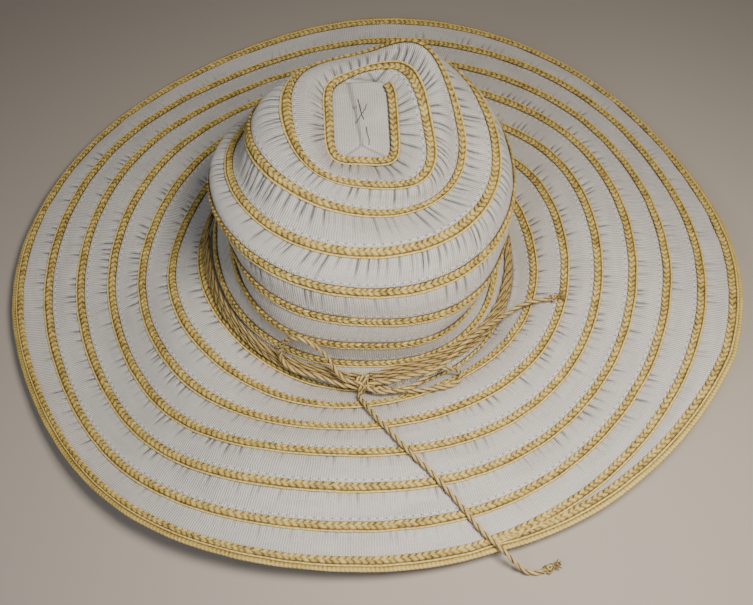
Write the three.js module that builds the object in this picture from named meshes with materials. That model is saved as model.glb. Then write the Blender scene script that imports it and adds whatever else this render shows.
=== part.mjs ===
// Wide-brim sun hat: one long ribbon sewn edge to edge in a spiral, a straw braid on every seam,
// and a straw cord wound round the foot of the crown and tied in a bow.
// Millimetres, +Z up. The bow is at the front, -Y, and the hat rests on its wavy brim.
import * as THREE from "three";

// Driving dimensions
const headWidth = 175.4;
const headDepth = 191.6;
const crownHeight = 104;
const ribbonPitch = 18.7;
const clothThickness = 1.2;
const braidWidth = 5.2;
const braidThickness = 1.8;
const edgeBindingWidth = 4;
const edgeBindingThickness = 2.8;
const cordDiameter = 2.6;
const bowKnotWidth = 11.6;
const bowKnotDepth = 7.6;
const bowKnotHeight = 13;
const bowKnotStandOff = 2.5;
const endKnotDiameter = 5.2;
const seatGap = 0.3;
const restingLift = 2.5;

// Counts and places of the spiral, in turns and degrees
const crownTurns = 8;
const crownWallTurns = 2.5;
const brimTurns = 7;
const windings = 4;
const spiralSeam = -74;
const edgeTaper = 0.128;
const edgeBraidEase = 0.15;
const patchJoin = { start: 0.57, length: 0.08 };
const stationsPerTurn = 36;

// Sections of the crown from its foot to the rim of the top patch, one ribbon apart. Heights are
// shares of crownHeight, widths and centres shares of half the head's width and depth, tips are
// the section's slope along X and Y, and squareness is the power of its rounded outline.
const crownSections = [
  { height: 0.062, tipX: -0.117, tipY: 0.038, centreX: 0, centreY: 0, width: 1, depth: 1, squareness: 2 },
  { height: 0.224, tipX: -0.143, tipY: 0.056, centreX: -0.01, centreY: 0.04, width: 0.9, depth: 0.946, squareness: 2.27 },
  { height: 0.387, tipX: -0.174, tipY: 0.054, centreX: -0.01, centreY: 0.06, width: 0.787, depth: 0.975, squareness: 2.66 },
  { height: 0.552, tipX: -0.183, tipY: 0.051, centreX: 0.04, centreY: 0.05, width: 0.865, depth: 0.951, squareness: 2.44 },
  { height: 0.725, tipX: -0.171, tipY: 0.051, centreX: 0.04, centreY: 0.08, width: 0.936, depth: 0.941, squareness: 2.12 },
  { height: 0.832, tipX: -0.109, tipY: 0.055, centreX: 0.09, centreY: 0.08, width: 0.81, depth: 0.782, squareness: 2.1 },
  { height: 0.94, tipX: -0.28, tipY: 0.21, centreX: 0.06, centreY: 0.097, width: 0.635, depth: 0.554, squareness: 2 },
  { height: 0.99, tipX: -0.24, tipY: 0.2, centreX: 0.09, centreY: 0.093, width: 0.41, depth: 0.431, squareness: 2.94 },
  { height: 0.946, tipX: -0.14, tipY: 0.253, centreX: 0.05, centreY: 0.125, width: 0.207, depth: 0.272, squareness: 5 },
];

// Where the crown has sunk or stands up: the middle of each place in ribbons above the foot and in
// degrees round the hat, how far it reaches both ways, and how far the cloth drops there
const crownDents = [
  { ribbons: 4.1, angle: 132, ribbonsWide: 2.5, angleWide: 57, drop: 28 },
  { ribbons: 6.25, angle: 45, ribbonsWide: 1.05, angleWide: 32, drop: -22 },
];
const dentEase = 2;

// Slope of the brim in degrees, at its foot, one third out, two thirds out and at its edge, as a
// mean and four waves round the hat, each wave with its share along X and along Y.
const brimSlopes = [
  { mean: 5, wave1: [20.7, -33], wave2: [2.9, -2.6], wave3: [6.5, 0.2], wave4: [-0.3, 10.2] },
  { mean: 4.5, wave1: [10.5, 5.6], wave2: [-5, 2.9], wave3: [1.3, 6.9], wave4: [4.1, -9.8] },
  { mean: -4.8, wave1: [-0.6, 2.7], wave2: [3.5, -2], wave3: [-4.3, -7.5], wave4: [-3.5, -1.5] },
  { mean: 10.6, wave1: [-13.2, -2.4], wave2: [-3, 6.5], wave3: [2.7, -18.4], wave4: [-0.6, 2.3] },
];

// Routes of the loose cord, chosen by hand, from the knot outward
const cordRoutes = {
  bow_loop_left: [
    [-8.2, -99.9, 20.4], [-12.5, -99.2, 22.2], [-16, -97.5, 26.3], [-19.2, -94.6, 31.4], [-21.8, -93.4, 37.1],
    [-25, -93.4, 42.6], [-28.7, -93.2, 47.4], [-32.4, -92.2, 49.8], [-36.5, -90.4, 49.2], [-40.7, -87.6, 44.7],
    [-44, -85, 37], [-46, -84, 29.7], [-45.1, -85.4, 23.6], [-41.1, -88.3, 20.8], [-36.4, -90.6, 19.8],
    [-31.1, -92.6, 19.7], [-24.7, -95.4, 20], [-17.9, -98.2, 18.9], [-13, -99.5, 17.4], [-8.2, -99.9, 16.4],
  ],
  bow_loop_right: [
    [4.4, -99.9, 19], [9.9, -99.6, 18.4], [16.3, -97.6, 17.4], [24.4, -95.1, 17], [31.4, -93, 16.7],
    [38, -91, 15.6], [44.3, -92.1, 15.9], [48.1, -96.4, 18.7], [48.1, -101.1, 19.8], [44.6, -104.8, 20.1],
    [39.3, -106.5, 20.3], [31.4, -106.9, 20], [23.5, -107.1, 19.4], [15.8, -104.6, 17], [10.3, -101.9, 15.2],
    [4.4, -99.9, 14.6],
  ],
  tail_upper: [
    [1.2, -102.9, 17], [5.5, -105.4, 18], [12, -106, 19], [18.5, -107.2, 21.6], [24, -104.6, 21.2],
    [28.4, -100.2, 19.8], [33, -96.6, 19.6], [38.2, -92.4, 19.2], [41.3, -89.8, 19.2], [44.8, -86.5, 19.6],
    [49.5, -82, 20.5], [53.6, -78.4, 21.2], [58.3, -74.1, 20.4], [62.8, -69.2, 18.4], [67.8, -64.1, 16],
    [74.2, -57.4, 12.6], [79.6, -52.4, 10.6], [84.8, -49.4, 11.6], [92, -48.3, 14.1], [97.5, -48.1, 15.1],
    [102.2, -48, 15.5],
  ],
  tail_lower: [
    [-5.2, -102.6, 14.2], [-5.3, -106.9, 17.6], [-3.3, -113.8, 21], [-0.4, -120.1, 23.6], [3.4, -127.4, 25.8],
    [8.1, -134.8, 27.4], [13.6, -143.6, 28.4], [20.4, -152.4, 27.8], [27.2, -159.6, 25.7], [32.5, -165.9, 23.3],
    [37.8, -171.9, 20.7], [41.7, -177, 18.5], [45.1, -181.8, 16.8], [48.9, -187.1, 15.2], [53.3, -191.9, 14.2],
    [57.5, -196.3, 13.2], [61.8, -200.4, 10.4], [65.6, -203, 6.2], [69.4, -204.6, 3], [73.5, -205, 1.6],
    [77.6, -204.4, 1.4],
  ],
};

// Places of the knots in the loose cord, chosen with its routes
const bowKnotPlace = new THREE.Vector3(-1.9, -headDepth / 2 - bowKnotStandOff, 18);
const upperEndKnotPlace = new THREE.Vector3(105.3, -47.8, 16.3);
const lowerEndKnotPlace = new THREE.Vector3(80.9, -203.6, 2.65);

// Finishes
const ribbonFinish = { color: 0xdcdad3, roughness: 0.55, metalness: 0 };
const braidFinish = { color: 0xc8aa68, roughness: 0.75, metalness: 0 };
const cordFinish = { color: 0xbf9f5a, roughness: 0.7, metalness: 0 };

const halfWidth = headWidth / 2;
const halfDepth = headDepth / 2;
const cordRadius = cordDiameter / 2;
const layerOnCloth = clothThickness / 2 + seatGap;
const cordOverBraid = layerOnCloth + braidThickness + seatGap + cordRadius;
const windingPitch = cordDiameter + 2 * seatGap;
const routeStep = cordDiameter * 2.7;
const knotBack = 0.22;
const bowKnotSquareness = 0.62;
const endKnotSquareness = 0.85;

const radians = THREE.MathUtils.degToRad;
const smooth = (x) => THREE.MathUtils.smoothstep(x, 0, 1);

function sectionCentre(row) {
  const height = restingLift + row.height * crownHeight;
  return new THREE.Vector3(row.centreX * halfWidth, row.centreY * halfDepth, height);
}

// A point of one crown section: a rounded outline of the given power, tipped and moved off centre
function sectionPoint(row, angle) {
  const a = row.width * halfWidth;
  const b = row.depth * halfDepth;
  const c = Math.cos(angle);
  const s = Math.sin(angle);
  const power = row.squareness;
  const radius = (Math.abs(c / a) ** power + Math.abs(s / b) ** power) ** (-1 / power);
  const x = radius * c;
  const y = radius * s;
  return sectionCentre(row).add(new THREE.Vector3(x, y, row.tipX * x + row.tipY * y));
}

// How far the dents lower the crown's cloth at one place, fading out towards its foot
function crownDrop(ribbons, angle) {
  const drops = crownDents.map((dent) => {
    const turn = angle - radians(dent.angle);
    const round = Math.atan2(Math.sin(turn), Math.cos(turn)) / radians(dent.angleWide);
    const along = (ribbons - dent.ribbons) / dent.ribbonsWide;
    return dent.drop * Math.exp(-along * along - round * round);
  });
  return smooth(ribbons / dentEase) * drops.reduce((sum, drop) => sum + drop, 0);
}

// The middle of the crown's wall, at a number of ribbons above its foot. Past the last section it
// is the flat patch, which runs on to that section's centre.
function crownPoint(ribbons, angle) {
  const last = crownSections.length - 1;
  if (ribbons > last) {
    const rim = crownPoint(last, angle);
    const centre = sectionCentre(crownSections[last]);
    return rim.lerp(centre, ((ribbons - last) * ribbonPitch) / rim.distanceTo(centre));
  }
  const index = THREE.MathUtils.clamp(Math.floor(ribbons), 0, last - 1);
  const t = ribbons - index;
  const p1 = sectionPoint(crownSections[index], angle);
  const p2 = sectionPoint(crownSections[index + 1], angle);
  const before = index > 0 ? sectionPoint(crownSections[index - 1], angle) : null;
  const p0 = before ?? p1.clone().multiplyScalar(2).sub(p2);
  const after = index + 2 <= last ? sectionPoint(crownSections[index + 2], angle) : null;
  const p3 = after ?? p2.clone().multiplyScalar(2).sub(p1);
  const point = new THREE.Vector3();
  for (const axis of ["x", "y", "z"]) {
    const [a, b, c, d] = [p0[axis], p1[axis], p2[axis], p3[axis]];
    const cubic = (3 * (b - c) + d - a) * t ** 3;
    point[axis] = 0.5 * (2 * b + (c - a) * t + (2 * a - 5 * b + 4 * c - d) * t * t + cubic);
  }
  point.z -= crownDrop(ribbons, angle);
  return rested(point);
}

// The brim's slope at a number of ribbons out from the crown
function brimSlope(ribbons, angle) {
  const place = (ribbons / brimTurns) * (brimSlopes.length - 1);
  const index = THREE.MathUtils.clamp(Math.floor(place), 0, brimSlopes.length - 2);
  const [inner, outer] = [brimSlopes[index], brimSlopes[index + 1]].map((row) => {
    const waves = [row.wave1, row.wave2, row.wave3, row.wave4];
    const wave = ([along, across], n) => along * Math.cos((n + 1) * angle) + across * Math.sin((n + 1) * angle);
    return waves.reduce((sum, pair, n) => sum + wave(pair, n), row.mean);
  });
  return radians(THREE.MathUtils.lerp(inner, outer, smooth(place - index)));
}

// The middle of the brim's cloth: it runs out from the crown's foot, rising by its slope
function brimPoint(ribbons, angle) {
  const pieces = 24;
  const foot = sectionPoint(crownSections[0], angle);
  let radius = Math.hypot(foot.x, foot.y);
  let height = foot.z;
  for (let i = 0; i < pieces; i += 1) {
    const slope = brimSlope((ribbons * (i + 0.5)) / pieces, angle);
    radius += (Math.cos(slope) * ribbons * ribbonPitch) / pieces;
    height += (Math.sin(slope) * ribbons * ribbonPitch) / pieces;
  }
  return rested(new THREE.Vector3(radius * Math.cos(angle), radius * Math.sin(angle), height));
}

// Cloth that would reach below the surface lies flat on it
function rested(point) {
  point.z = Math.max(point.z, clothThickness / 2);
  return point;
}

// A point held off the cloth's middle, along its outward normal. Positions are counted in ribbons
// along the cloth: above 0 up the crown, below 0 out along the brim.
function offCloth(ribbons, angle, height, onCrown) {
  const place = onCrown ? (r, a) => crownPoint(r, a) : (r, a) => brimPoint(Math.max(-r, 0), a);
  const stepAlong = 0.02;
  const stepRound = 0.01;
  const along = place(ribbons + stepAlong, angle).sub(place(ribbons - stepAlong, angle));
  const round = place(ribbons, angle + stepRound).sub(place(ribbons, angle - stepRound));
  const normal = round.cross(along).normalize();
  return place(ribbons, angle).addScaledVector(normal, height);
}

// The spiral seam line of one turn, in ribbons along the cloth, at a share of the turn
function seamLine(turn, share) {
  if (turn === -brimTurns) {
    return -Math.min(brimTurns - share, brimTurns - 1 - share + Math.min(1, share / edgeTaper));
  }
  if (turn >= crownTurns) return crownTurns;
  if (turn < crownTurns - 1) return turn + share;
  return THREE.MathUtils.lerp(turn + share, crownTurns, smooth((share - patchJoin.start) / patchJoin.length));
}

const stationAngle = (station) => radians(spiralSeam) + (station / stationsPerTurn) * Math.PI * 2;

// A mesh from corner points and triangles, with alike points joined and flat triangles dropped
function closedMesh(points, faces) {
  const keys = new Map();
  const kept = [];
  const index = points.map((p) => {
    const key = [p.x, p.y, p.z].map((v) => Math.round(v * 1000)).join();
    if (!keys.has(key)) {
      keys.set(key, kept.length);
      kept.push(p);
    }
    return keys.get(key);
  });
  const triangles = faces
    .map((face) => face.map((i) => index[i]))
    .filter(([a, b, c]) => a !== b && b !== c && c !== a);
  const geometry = new THREE.BufferGeometry();
  geometry.setAttribute("position", new THREE.Float32BufferAttribute(kept.flatMap((p) => [p.x, p.y, p.z]), 3));
  geometry.setIndex(triangles.flat());
  geometry.computeVertexNormals();
  return geometry;
}

// A wall of cloth between rows of the spiral: both faces, and a strip round every free edge
function clothWall(rows, onCrown) {
  const columns = stationsPerTurn + 1;
  const half = clothThickness / 2;
  const faceOf = (height) => rows.flatMap((row) => Array.from({ length: columns }, (_, station) => {
    const share = station / stationsPerTurn;
    return offCloth(row(share), stationAngle(station), height, onCrown);
  }));
  const outer = faceOf(half);
  const inner = faceOf(-half);
  const first = new Map();
  const same = outer.map((p, i) => {
    const key = [p.x, p.y, p.z].map((v) => Math.round(v * 1000)).join();
    if (!first.has(key)) first.set(key, i);
    return first.get(key);
  });
  const skin = [];
  for (let row = 0; row + 1 < rows.length; row += 1) {
    for (let station = 0; station < stationsPerTurn; station += 1) {
      const a = row * columns + station;
      const corners = [a, a + 1, a + columns + 1, a + columns].map((i) => same[i]);
      skin.push([corners[0], corners[1], corners[2]], [corners[0], corners[2], corners[3]]);
    }
  }
  const real = skin.filter(([a, b, c]) => a !== b && b !== c && c !== a);
  const edges = new Set(real.flatMap(([a, b, c]) => [`${a},${b}`, `${b},${c}`, `${c},${a}`]));
  const faces = real.flatMap(([a, b, c]) => [[a, b, c], [a + outer.length, c + outer.length, b + outer.length]]);
  for (const edge of edges) {
    const [a, b] = edge.split(",").map(Number);
    if (edges.has(`${b},${a}`)) continue;
    faces.push([b, a, a + outer.length], [b, a + outer.length, b + outer.length]);
  }
  return closedMesh([...outer, ...inner], faces);
}

// A long strip of four-cornered sections, closed at both ends
function strip(sections) {
  const faces = [];
  sections.slice(1).forEach((_, i) => {
    for (let k = 0; k < 4; k += 1) {
      const a = i * 4 + k;
      const b = i * 4 + ((k + 1) % 4);
      faces.push([a, b + 4, b], [a, a + 4, b + 4]);
    }
  });
  const end = (sections.length - 1) * 4;
  faces.push([0, 1, 2], [0, 2, 3], [end, end + 2, end + 1], [end, end + 3, end + 2]);
  return closedMesh(sections.flat(), faces);
}

// Rows of the crown's cloth from its foot to the patch, with half rows that give the ribbons their
// curve. The cloth is two pieces, a wall and a top, that part on a level ring.
const crownLines = [() => 0];
for (let turn = 0; turn <= crownTurns; turn += 1) {
  crownLines.push((share) => seamLine(turn, share));
}
const splitGap = seatGap / ribbonPitch;

function crownRows(low, high) {
  const rows = crownLines.flatMap((line, i) => {
    const next = crownLines[i + 1];
    return next && i > 0 ? [line, (share) => (line(share) + next(share)) / 2] : [line];
  });
  const within = (row) => (share) => THREE.MathUtils.clamp(row(share), low, high);
  const ends = (row) => [row(0), row(1)].map((ribbons) => THREE.MathUtils.clamp(ribbons, low, high));
  const outside = (row, edge) => ends(row).every((ribbons) => ribbons === edge);
  const first = rows.findLastIndex((row) => outside(row, low));
  const last = rows.findIndex((row) => outside(row, high));
  return rows.slice(Math.max(first, 0), last + 1).map(within);
}

// The edge's braid lies just inside the ribbon's edge, and eases back to its seam where the
// outermost ribbon begins
const braidHalf = braidWidth / 2 / ribbonPitch;

function braidLine(turn, share) {
  if (turn === -brimTurns) return seamLine(turn, share) + braidHalf;
  if (turn === 1 - brimTurns) return seamLine(turn, share) + braidHalf * (1 - smooth(share / edgeBraidEase));
  return seamLine(turn, share);
}

const brimFoot = -layerOnCloth / ribbonPitch;
const brimRows = [(share) => seamLine(-brimTurns, share)];
for (let turn = -brimTurns; turn < 0; turn += 1) {
  brimRows.push((share) => Math.min(braidLine(turn, share), brimFoot));
}
brimRows.push(() => brimFoot);

// The braid on one turn of the seam: a low ridge whose sides lie along the cloth's facets, ending
// a small gap short of the next turn
function seamBraid(turn, outward, inward, onCrown, from, to) {
  const top = layerOnCloth + braidThickness;
  const side = layerOnCloth + braidThickness / 4;
  const sections = [];
  for (let station = from; station <= to; station += 1) {
    const share = station / stationsPerTurn;
    const angle = stationAngle(station);
    const middle = braidLine(turn, share);
    const at = (ribbons, height) => offCloth(ribbons, angle, height, onCrown);
    const toward = (ribbons) => {
      const start = at(middle, side);
      const end = at(ribbons, side);
      return start.lerp(end, braidWidth / 2 / start.distanceTo(end));
    };
    sections.push([
      at(middle, layerOnCloth),
      toward(Math.min(outward(share), middle - braidHalf)),
      at(middle, top),
      toward(Math.max(inward(share), middle + braidHalf)),
    ]);
  }
  const [before, last] = sections.slice(-2);
  last.forEach((corner, i) => corner.lerp(before[i], seatGap / corner.distanceTo(before[i])));
  return strip(sections);
}

// The folded row under the brim's edge, which lies flat where the edge meets the surface
function edgeBinding() {
  const sections = [];
  const out = (share, run, rise) => {
    const ribbons = seamLine(-brimTurns, share) - run / ribbonPitch;
    const point = offCloth(ribbons, stationAngle(share * stationsPerTurn), rise, false);
    point.z = Math.max(point.z, 0);
    return point;
  };
  const middle = seatGap + edgeBindingWidth / 2;
  for (let station = 0; station <= stationsPerTurn; station += 1) {
    const share = station / stationsPerTurn;
    sections.push([
      out(share, middle, -edgeBindingThickness / 2),
      out(share, seatGap + edgeBindingWidth, 0),
      out(share, middle, edgeBindingThickness / 2),
      out(share, seatGap, 0),
    ]);
  }
  const [before, last] = sections.slice(-2);
  last.forEach((corner, i) => corner.lerp(before[i], seatGap / corner.distanceTo(before[i])));
  return strip(sections);
}

// The small patch that fills the crown's top, a thin plate just inside the last ribbon
function crownPatch() {
  const rim = crownTurns + layerOnCloth / ribbonPitch;
  const half = clothThickness / 2;
  const row = crownSections.at(-1);
  const upright = new THREE.Vector3(-row.tipX, -row.tipY, 1).normalize();
  const points = [half, -half].flatMap((height) => [
    ...Array.from({ length: stationsPerTurn }, (_, station) => offCloth(rim, stationAngle(station), height, true)),
    sectionCentre(row).addScaledVector(upright, height),
  ]);
  const middle = stationsPerTurn;
  const under = middle + 1;
  const faces = [];
  for (let i = 0; i < stationsPerTurn; i += 1) {
    const j = (i + 1) % stationsPerTurn;
    faces.push([i, j, middle], [j + under, i + under, middle + under]);
    faces.push([j, i, i + under], [j, i + under, j + under]);
  }
  return closedMesh(points, faces);
}

// A round cord along a route
function cordTube(points, steps, sides) {
  const outline = new THREE.Shape();
  for (let i = 0; i < sides; i += 1) {
    const angle = (i / sides) * Math.PI * 2;
    const [x, y] = [cordRadius * Math.cos(angle), cordRadius * Math.sin(angle)];
    if (i === 0) outline.moveTo(x, y);
    else outline.lineTo(x, y);
  }
  outline.closePath();
  const path = new THREE.CatmullRomCurve3(points);
  return new THREE.ExtrudeGeometry(outline, { steps, extrudePath: path, bevelEnabled: false });
}

// How far up the crown each winding lies at one angle: the lowest is clear of the brim and its
// braid, and each next one is a cord's width further along the wall
function windingHeights(angle) {
  const place = (ribbons) => offCloth(ribbons, angle, cordOverBraid, true);
  const slope = brimSlope(0, angle);
  let ribbons = (cordOverBraid * (Math.tan(slope) + 1 / Math.cos(slope))) / ribbonPitch;
  const heights = [place(ribbons)];
  while (heights.length < windings) {
    ribbons += 0.01;
    if (place(ribbons).distanceTo(heights.at(-1)) >= windingPitch) heights.push(place(ribbons));
  }
  return heights;
}

// The cord's windings round the crown's foot. Both ends of each are drawn together into the knot.
function bandWindings() {
  const samples = 32;
  const gatherAngle = radians(12);
  const behindKnot = bowKnotDepth * knotBack;
  const knotAngle = Math.atan2(bowKnotPlace.y, bowKnotPlace.x);
  const clearAngle = (bowKnotWidth / 2 + seatGap) / bowKnotPlace.length();
  const routes = Array.from({ length: windings }, () => []);
  for (let i = 0; i <= samples; i += 1) {
    const turn = THREE.MathUtils.lerp(clearAngle, Math.PI * 2 - clearAngle, i / samples);
    const free = smooth((Math.min(turn, Math.PI * 2 - turn) - clearAngle) / gatherAngle);
    windingHeights(knotAngle + turn).forEach((point, level) => {
      const gathered = bowKnotPlace.clone();
      gathered.x -= Math.sin(turn) * bowKnotPlace.y;
      gathered.y += behindKnot;
      gathered.z += (level - (windings - 1) / 2) * windingPitch;
      routes[level].push(gathered.lerp(point, free));
    });
  }
  return routes.map((route) => cordTube(route, samples, 6));
}

// A knot: a ball with flattened sides
function knot(width, depth, height, squareness) {
  const geometry = new THREE.SphereGeometry(0.5, 10, 8);
  geometry.rotateX(Math.PI / 2);
  const corners = geometry.getAttribute("position");
  const round = (v) => Math.sign(v) * (Math.abs(v) * 2) ** squareness / 2;
  for (let i = 0; i < corners.count; i += 1) {
    corners.setXYZ(i, round(corners.getX(i)) * width, round(corners.getY(i)) * depth, round(corners.getZ(i)) * height);
  }
  return geometry;
}

const finish = (settings) => new THREE.MeshStandardMaterial(settings);

function piece(name, geometry, settings, place) {
  const mesh = new THREE.Mesh(geometry, finish(settings));
  mesh.name = name;
  if (place) mesh.position.copy(place);
  return mesh;
}

function ribbonPieces() {
  return [
    piece("crown_wall_ribbon", clothWall(crownRows(0, crownWallTurns - splitGap), true), ribbonFinish),
    piece("crown_top_ribbon", clothWall(crownRows(crownWallTurns + splitGap, crownTurns), true), ribbonFinish),
    piece("brim_ribbon", clothWall(brimRows, false), ribbonFinish),
    piece("crown_patch", crownPatch(), ribbonFinish),
  ];
}

// Stations where the braid is hidden under the band's windings are left out, and so is the start
// of the edge braid, where it would lie on its own neighbour
const crownBraidStart = 9;
const brimBraidEnd = 28;
const edgeBraidStart = 2;
const patchBraidEnd = 13;

function braidPieces() {
  const pieces = [];
  for (let turn = 0; turn < crownTurns; turn += 1) {
    const outward = (share) => (turn === 0 ? 0 : (seamLine(turn - 1, share) + seamLine(turn, share)) / 2);
    const inward = (share) => (seamLine(turn, share) + seamLine(turn + 1, share)) / 2;
    const from = turn === 0 ? crownBraidStart : 0;
    const geometry = seamBraid(turn, outward, inward, true, from, stationsPerTurn);
    pieces.push(piece(`crown_braid_${turn + 1}`, geometry, braidFinish));
  }
  const beforePatch = (share) => (seamLine(crownTurns - 1, share) + crownTurns) / 2;
  const patchBraid = seamBraid(crownTurns, beforePatch, () => crownTurns, true, 0, patchBraidEnd);
  pieces.push(piece("patch_braid", patchBraid, braidFinish));
  for (let turn = -brimTurns; turn < 0; turn += 1) {
    const outward = (share) => braidLine(Math.max(turn - 1, -brimTurns), share);
    const inward = (share) => Math.min(braidLine(turn + 1, share), brimFoot);
    const atEdge = turn === -brimTurns;
    const to = turn === -1 ? brimBraidEnd : stationsPerTurn;
    const geometry = seamBraid(turn, outward, inward, false, atEdge ? edgeBraidStart : 0, to);
    pieces.push(piece(atEdge ? "edge_braid" : `brim_braid_${turn + brimTurns}`, geometry, braidFinish));
  }
  pieces.push(piece("edge_binding", edgeBinding(), braidFinish));
  return pieces;
}

function bandPieces() {
  const pieces = bandWindings().map((geometry, i) => piece(`band_cord_${i + 1}`, geometry, cordFinish));
  pieces.push(piece("bow_knot", knot(bowKnotWidth, bowKnotDepth, bowKnotHeight, bowKnotSquareness), cordFinish, bowKnotPlace));
  return pieces;
}

// The loose cord: its tubes and the knots in its two ends
function loosePieces() {
  const pieces = Object.entries(cordRoutes).map(([name, route]) => {
    const points = route.map((place) => new THREE.Vector3(...place));
    const length = new THREE.CatmullRomCurve3(points).getLength();
    return piece(name, cordTube(points, Math.round(length / routeStep), 8), cordFinish);
  });
  const endKnot = () => knot(endKnotDiameter, endKnotDiameter, endKnotDiameter, endKnotSquareness);
  pieces.push(piece("tail_upper_knot", endKnot(), cordFinish, upperEndKnotPlace));
  pieces.push(piece("tail_lower_knot", endKnot(), cordFinish, lowerEndKnotPlace));
  return pieces;
}

// The hat without its loose cord stands centred on the origin
const hat = new THREE.Group();
hat.add(...ribbonPieces(), ...braidPieces(), ...bandPieces());
const box = new THREE.Box3().setFromObject(hat);
const centre = box.getCenter(new THREE.Vector3());
hat.add(...loosePieces());
hat.position.set(-centre.x, -centre.y, -box.min.z);

export default hat;
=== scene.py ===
"""Looks of the wide-brim sun hat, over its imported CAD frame.

One long ribbon is sewn edge to edge in a spiral, a straw braid covers every seam, and a straw cord is
wound round the foot of the crown and tied in a bow. The form is worked out in millimetres in the hat's
own frame, +Z up with the bow at the front (-Y), and every mesh is written in metres in the row frame.
"""

import logging
import math
from collections.abc import Callable
from dataclasses import dataclass
from enum import Enum
from functools import partial
from typing import NamedTuple

import bpy
import numpy as np
from mathutils import Matrix, Vector


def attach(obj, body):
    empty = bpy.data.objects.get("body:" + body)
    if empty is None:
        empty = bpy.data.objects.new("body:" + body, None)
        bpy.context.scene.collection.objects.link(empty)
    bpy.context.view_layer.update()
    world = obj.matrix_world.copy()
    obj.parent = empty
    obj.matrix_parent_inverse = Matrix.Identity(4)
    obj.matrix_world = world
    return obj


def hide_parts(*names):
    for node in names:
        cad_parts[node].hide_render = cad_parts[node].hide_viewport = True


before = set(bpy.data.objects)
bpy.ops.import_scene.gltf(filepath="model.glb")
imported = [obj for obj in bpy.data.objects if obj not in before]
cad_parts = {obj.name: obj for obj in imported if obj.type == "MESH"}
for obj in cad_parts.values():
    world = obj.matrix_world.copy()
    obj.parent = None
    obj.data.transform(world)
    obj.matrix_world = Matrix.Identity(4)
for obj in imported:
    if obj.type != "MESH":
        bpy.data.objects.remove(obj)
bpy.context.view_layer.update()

log = logging.getLogger("sun_hat")

MM = 0.001
# the hat's own origin is under the middle of the crown's foot, the row frame's under the part's box
HAT_IN_ROW_FRAME = np.array([-3.0633, -5.8028, 0.0])
TURN = 2.0 * math.pi


def smooth(x: np.ndarray | float) -> np.ndarray:
    """Ease from 0 to 1: 3x^2 - 2x^3, held at its ends."""
    t = np.clip(x, 0.0, 1.0)
    return t * t * (3.0 - 2.0 * t)


def unit(vectors: np.ndarray) -> np.ndarray:
    """Vectors divided by their own length."""
    return vectors / np.maximum(np.linalg.norm(vectors, axis=-1, keepdims=True), 1e-12)


def to_row(points: np.ndarray) -> np.ndarray:
    """Points of the hat's own frame in mm, as row-frame points in metres."""
    return (points + HAT_IN_ROW_FRAME) * MM


# the hat's form


class Side(Enum):
    """Which part of the cloth a place is on, out from the crown's foot or up from it."""

    BRIM = "brim"
    CROWN = "crown"


class CrownRow(NamedTuple):
    """One section of the crown, in shares of the crown's height and of the head's half width and depth.

    The tips are its slopes to the right and to the back, and a squareness of 2 is an oval.
    """

    height: float
    tip_x: float
    tip_y: float
    centre_x: float
    centre_y: float
    width: float
    depth: float
    squareness: float

    @property
    def upright(self) -> np.ndarray:
        """The section's own upright."""
        return unit(np.array([-self.tip_x, -self.tip_y, 1.0]))


class Dent(NamedTuple):
    """A place where the crown has sunk, or stands up where the drop is below 0.

    It lies a number of ribbons up and at an angle in degrees, reaches as far in both, and drops by mm.
    """

    ribbons: float
    angle: float
    ribbons_wide: float
    angle_wide: float
    drop: float


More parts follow.
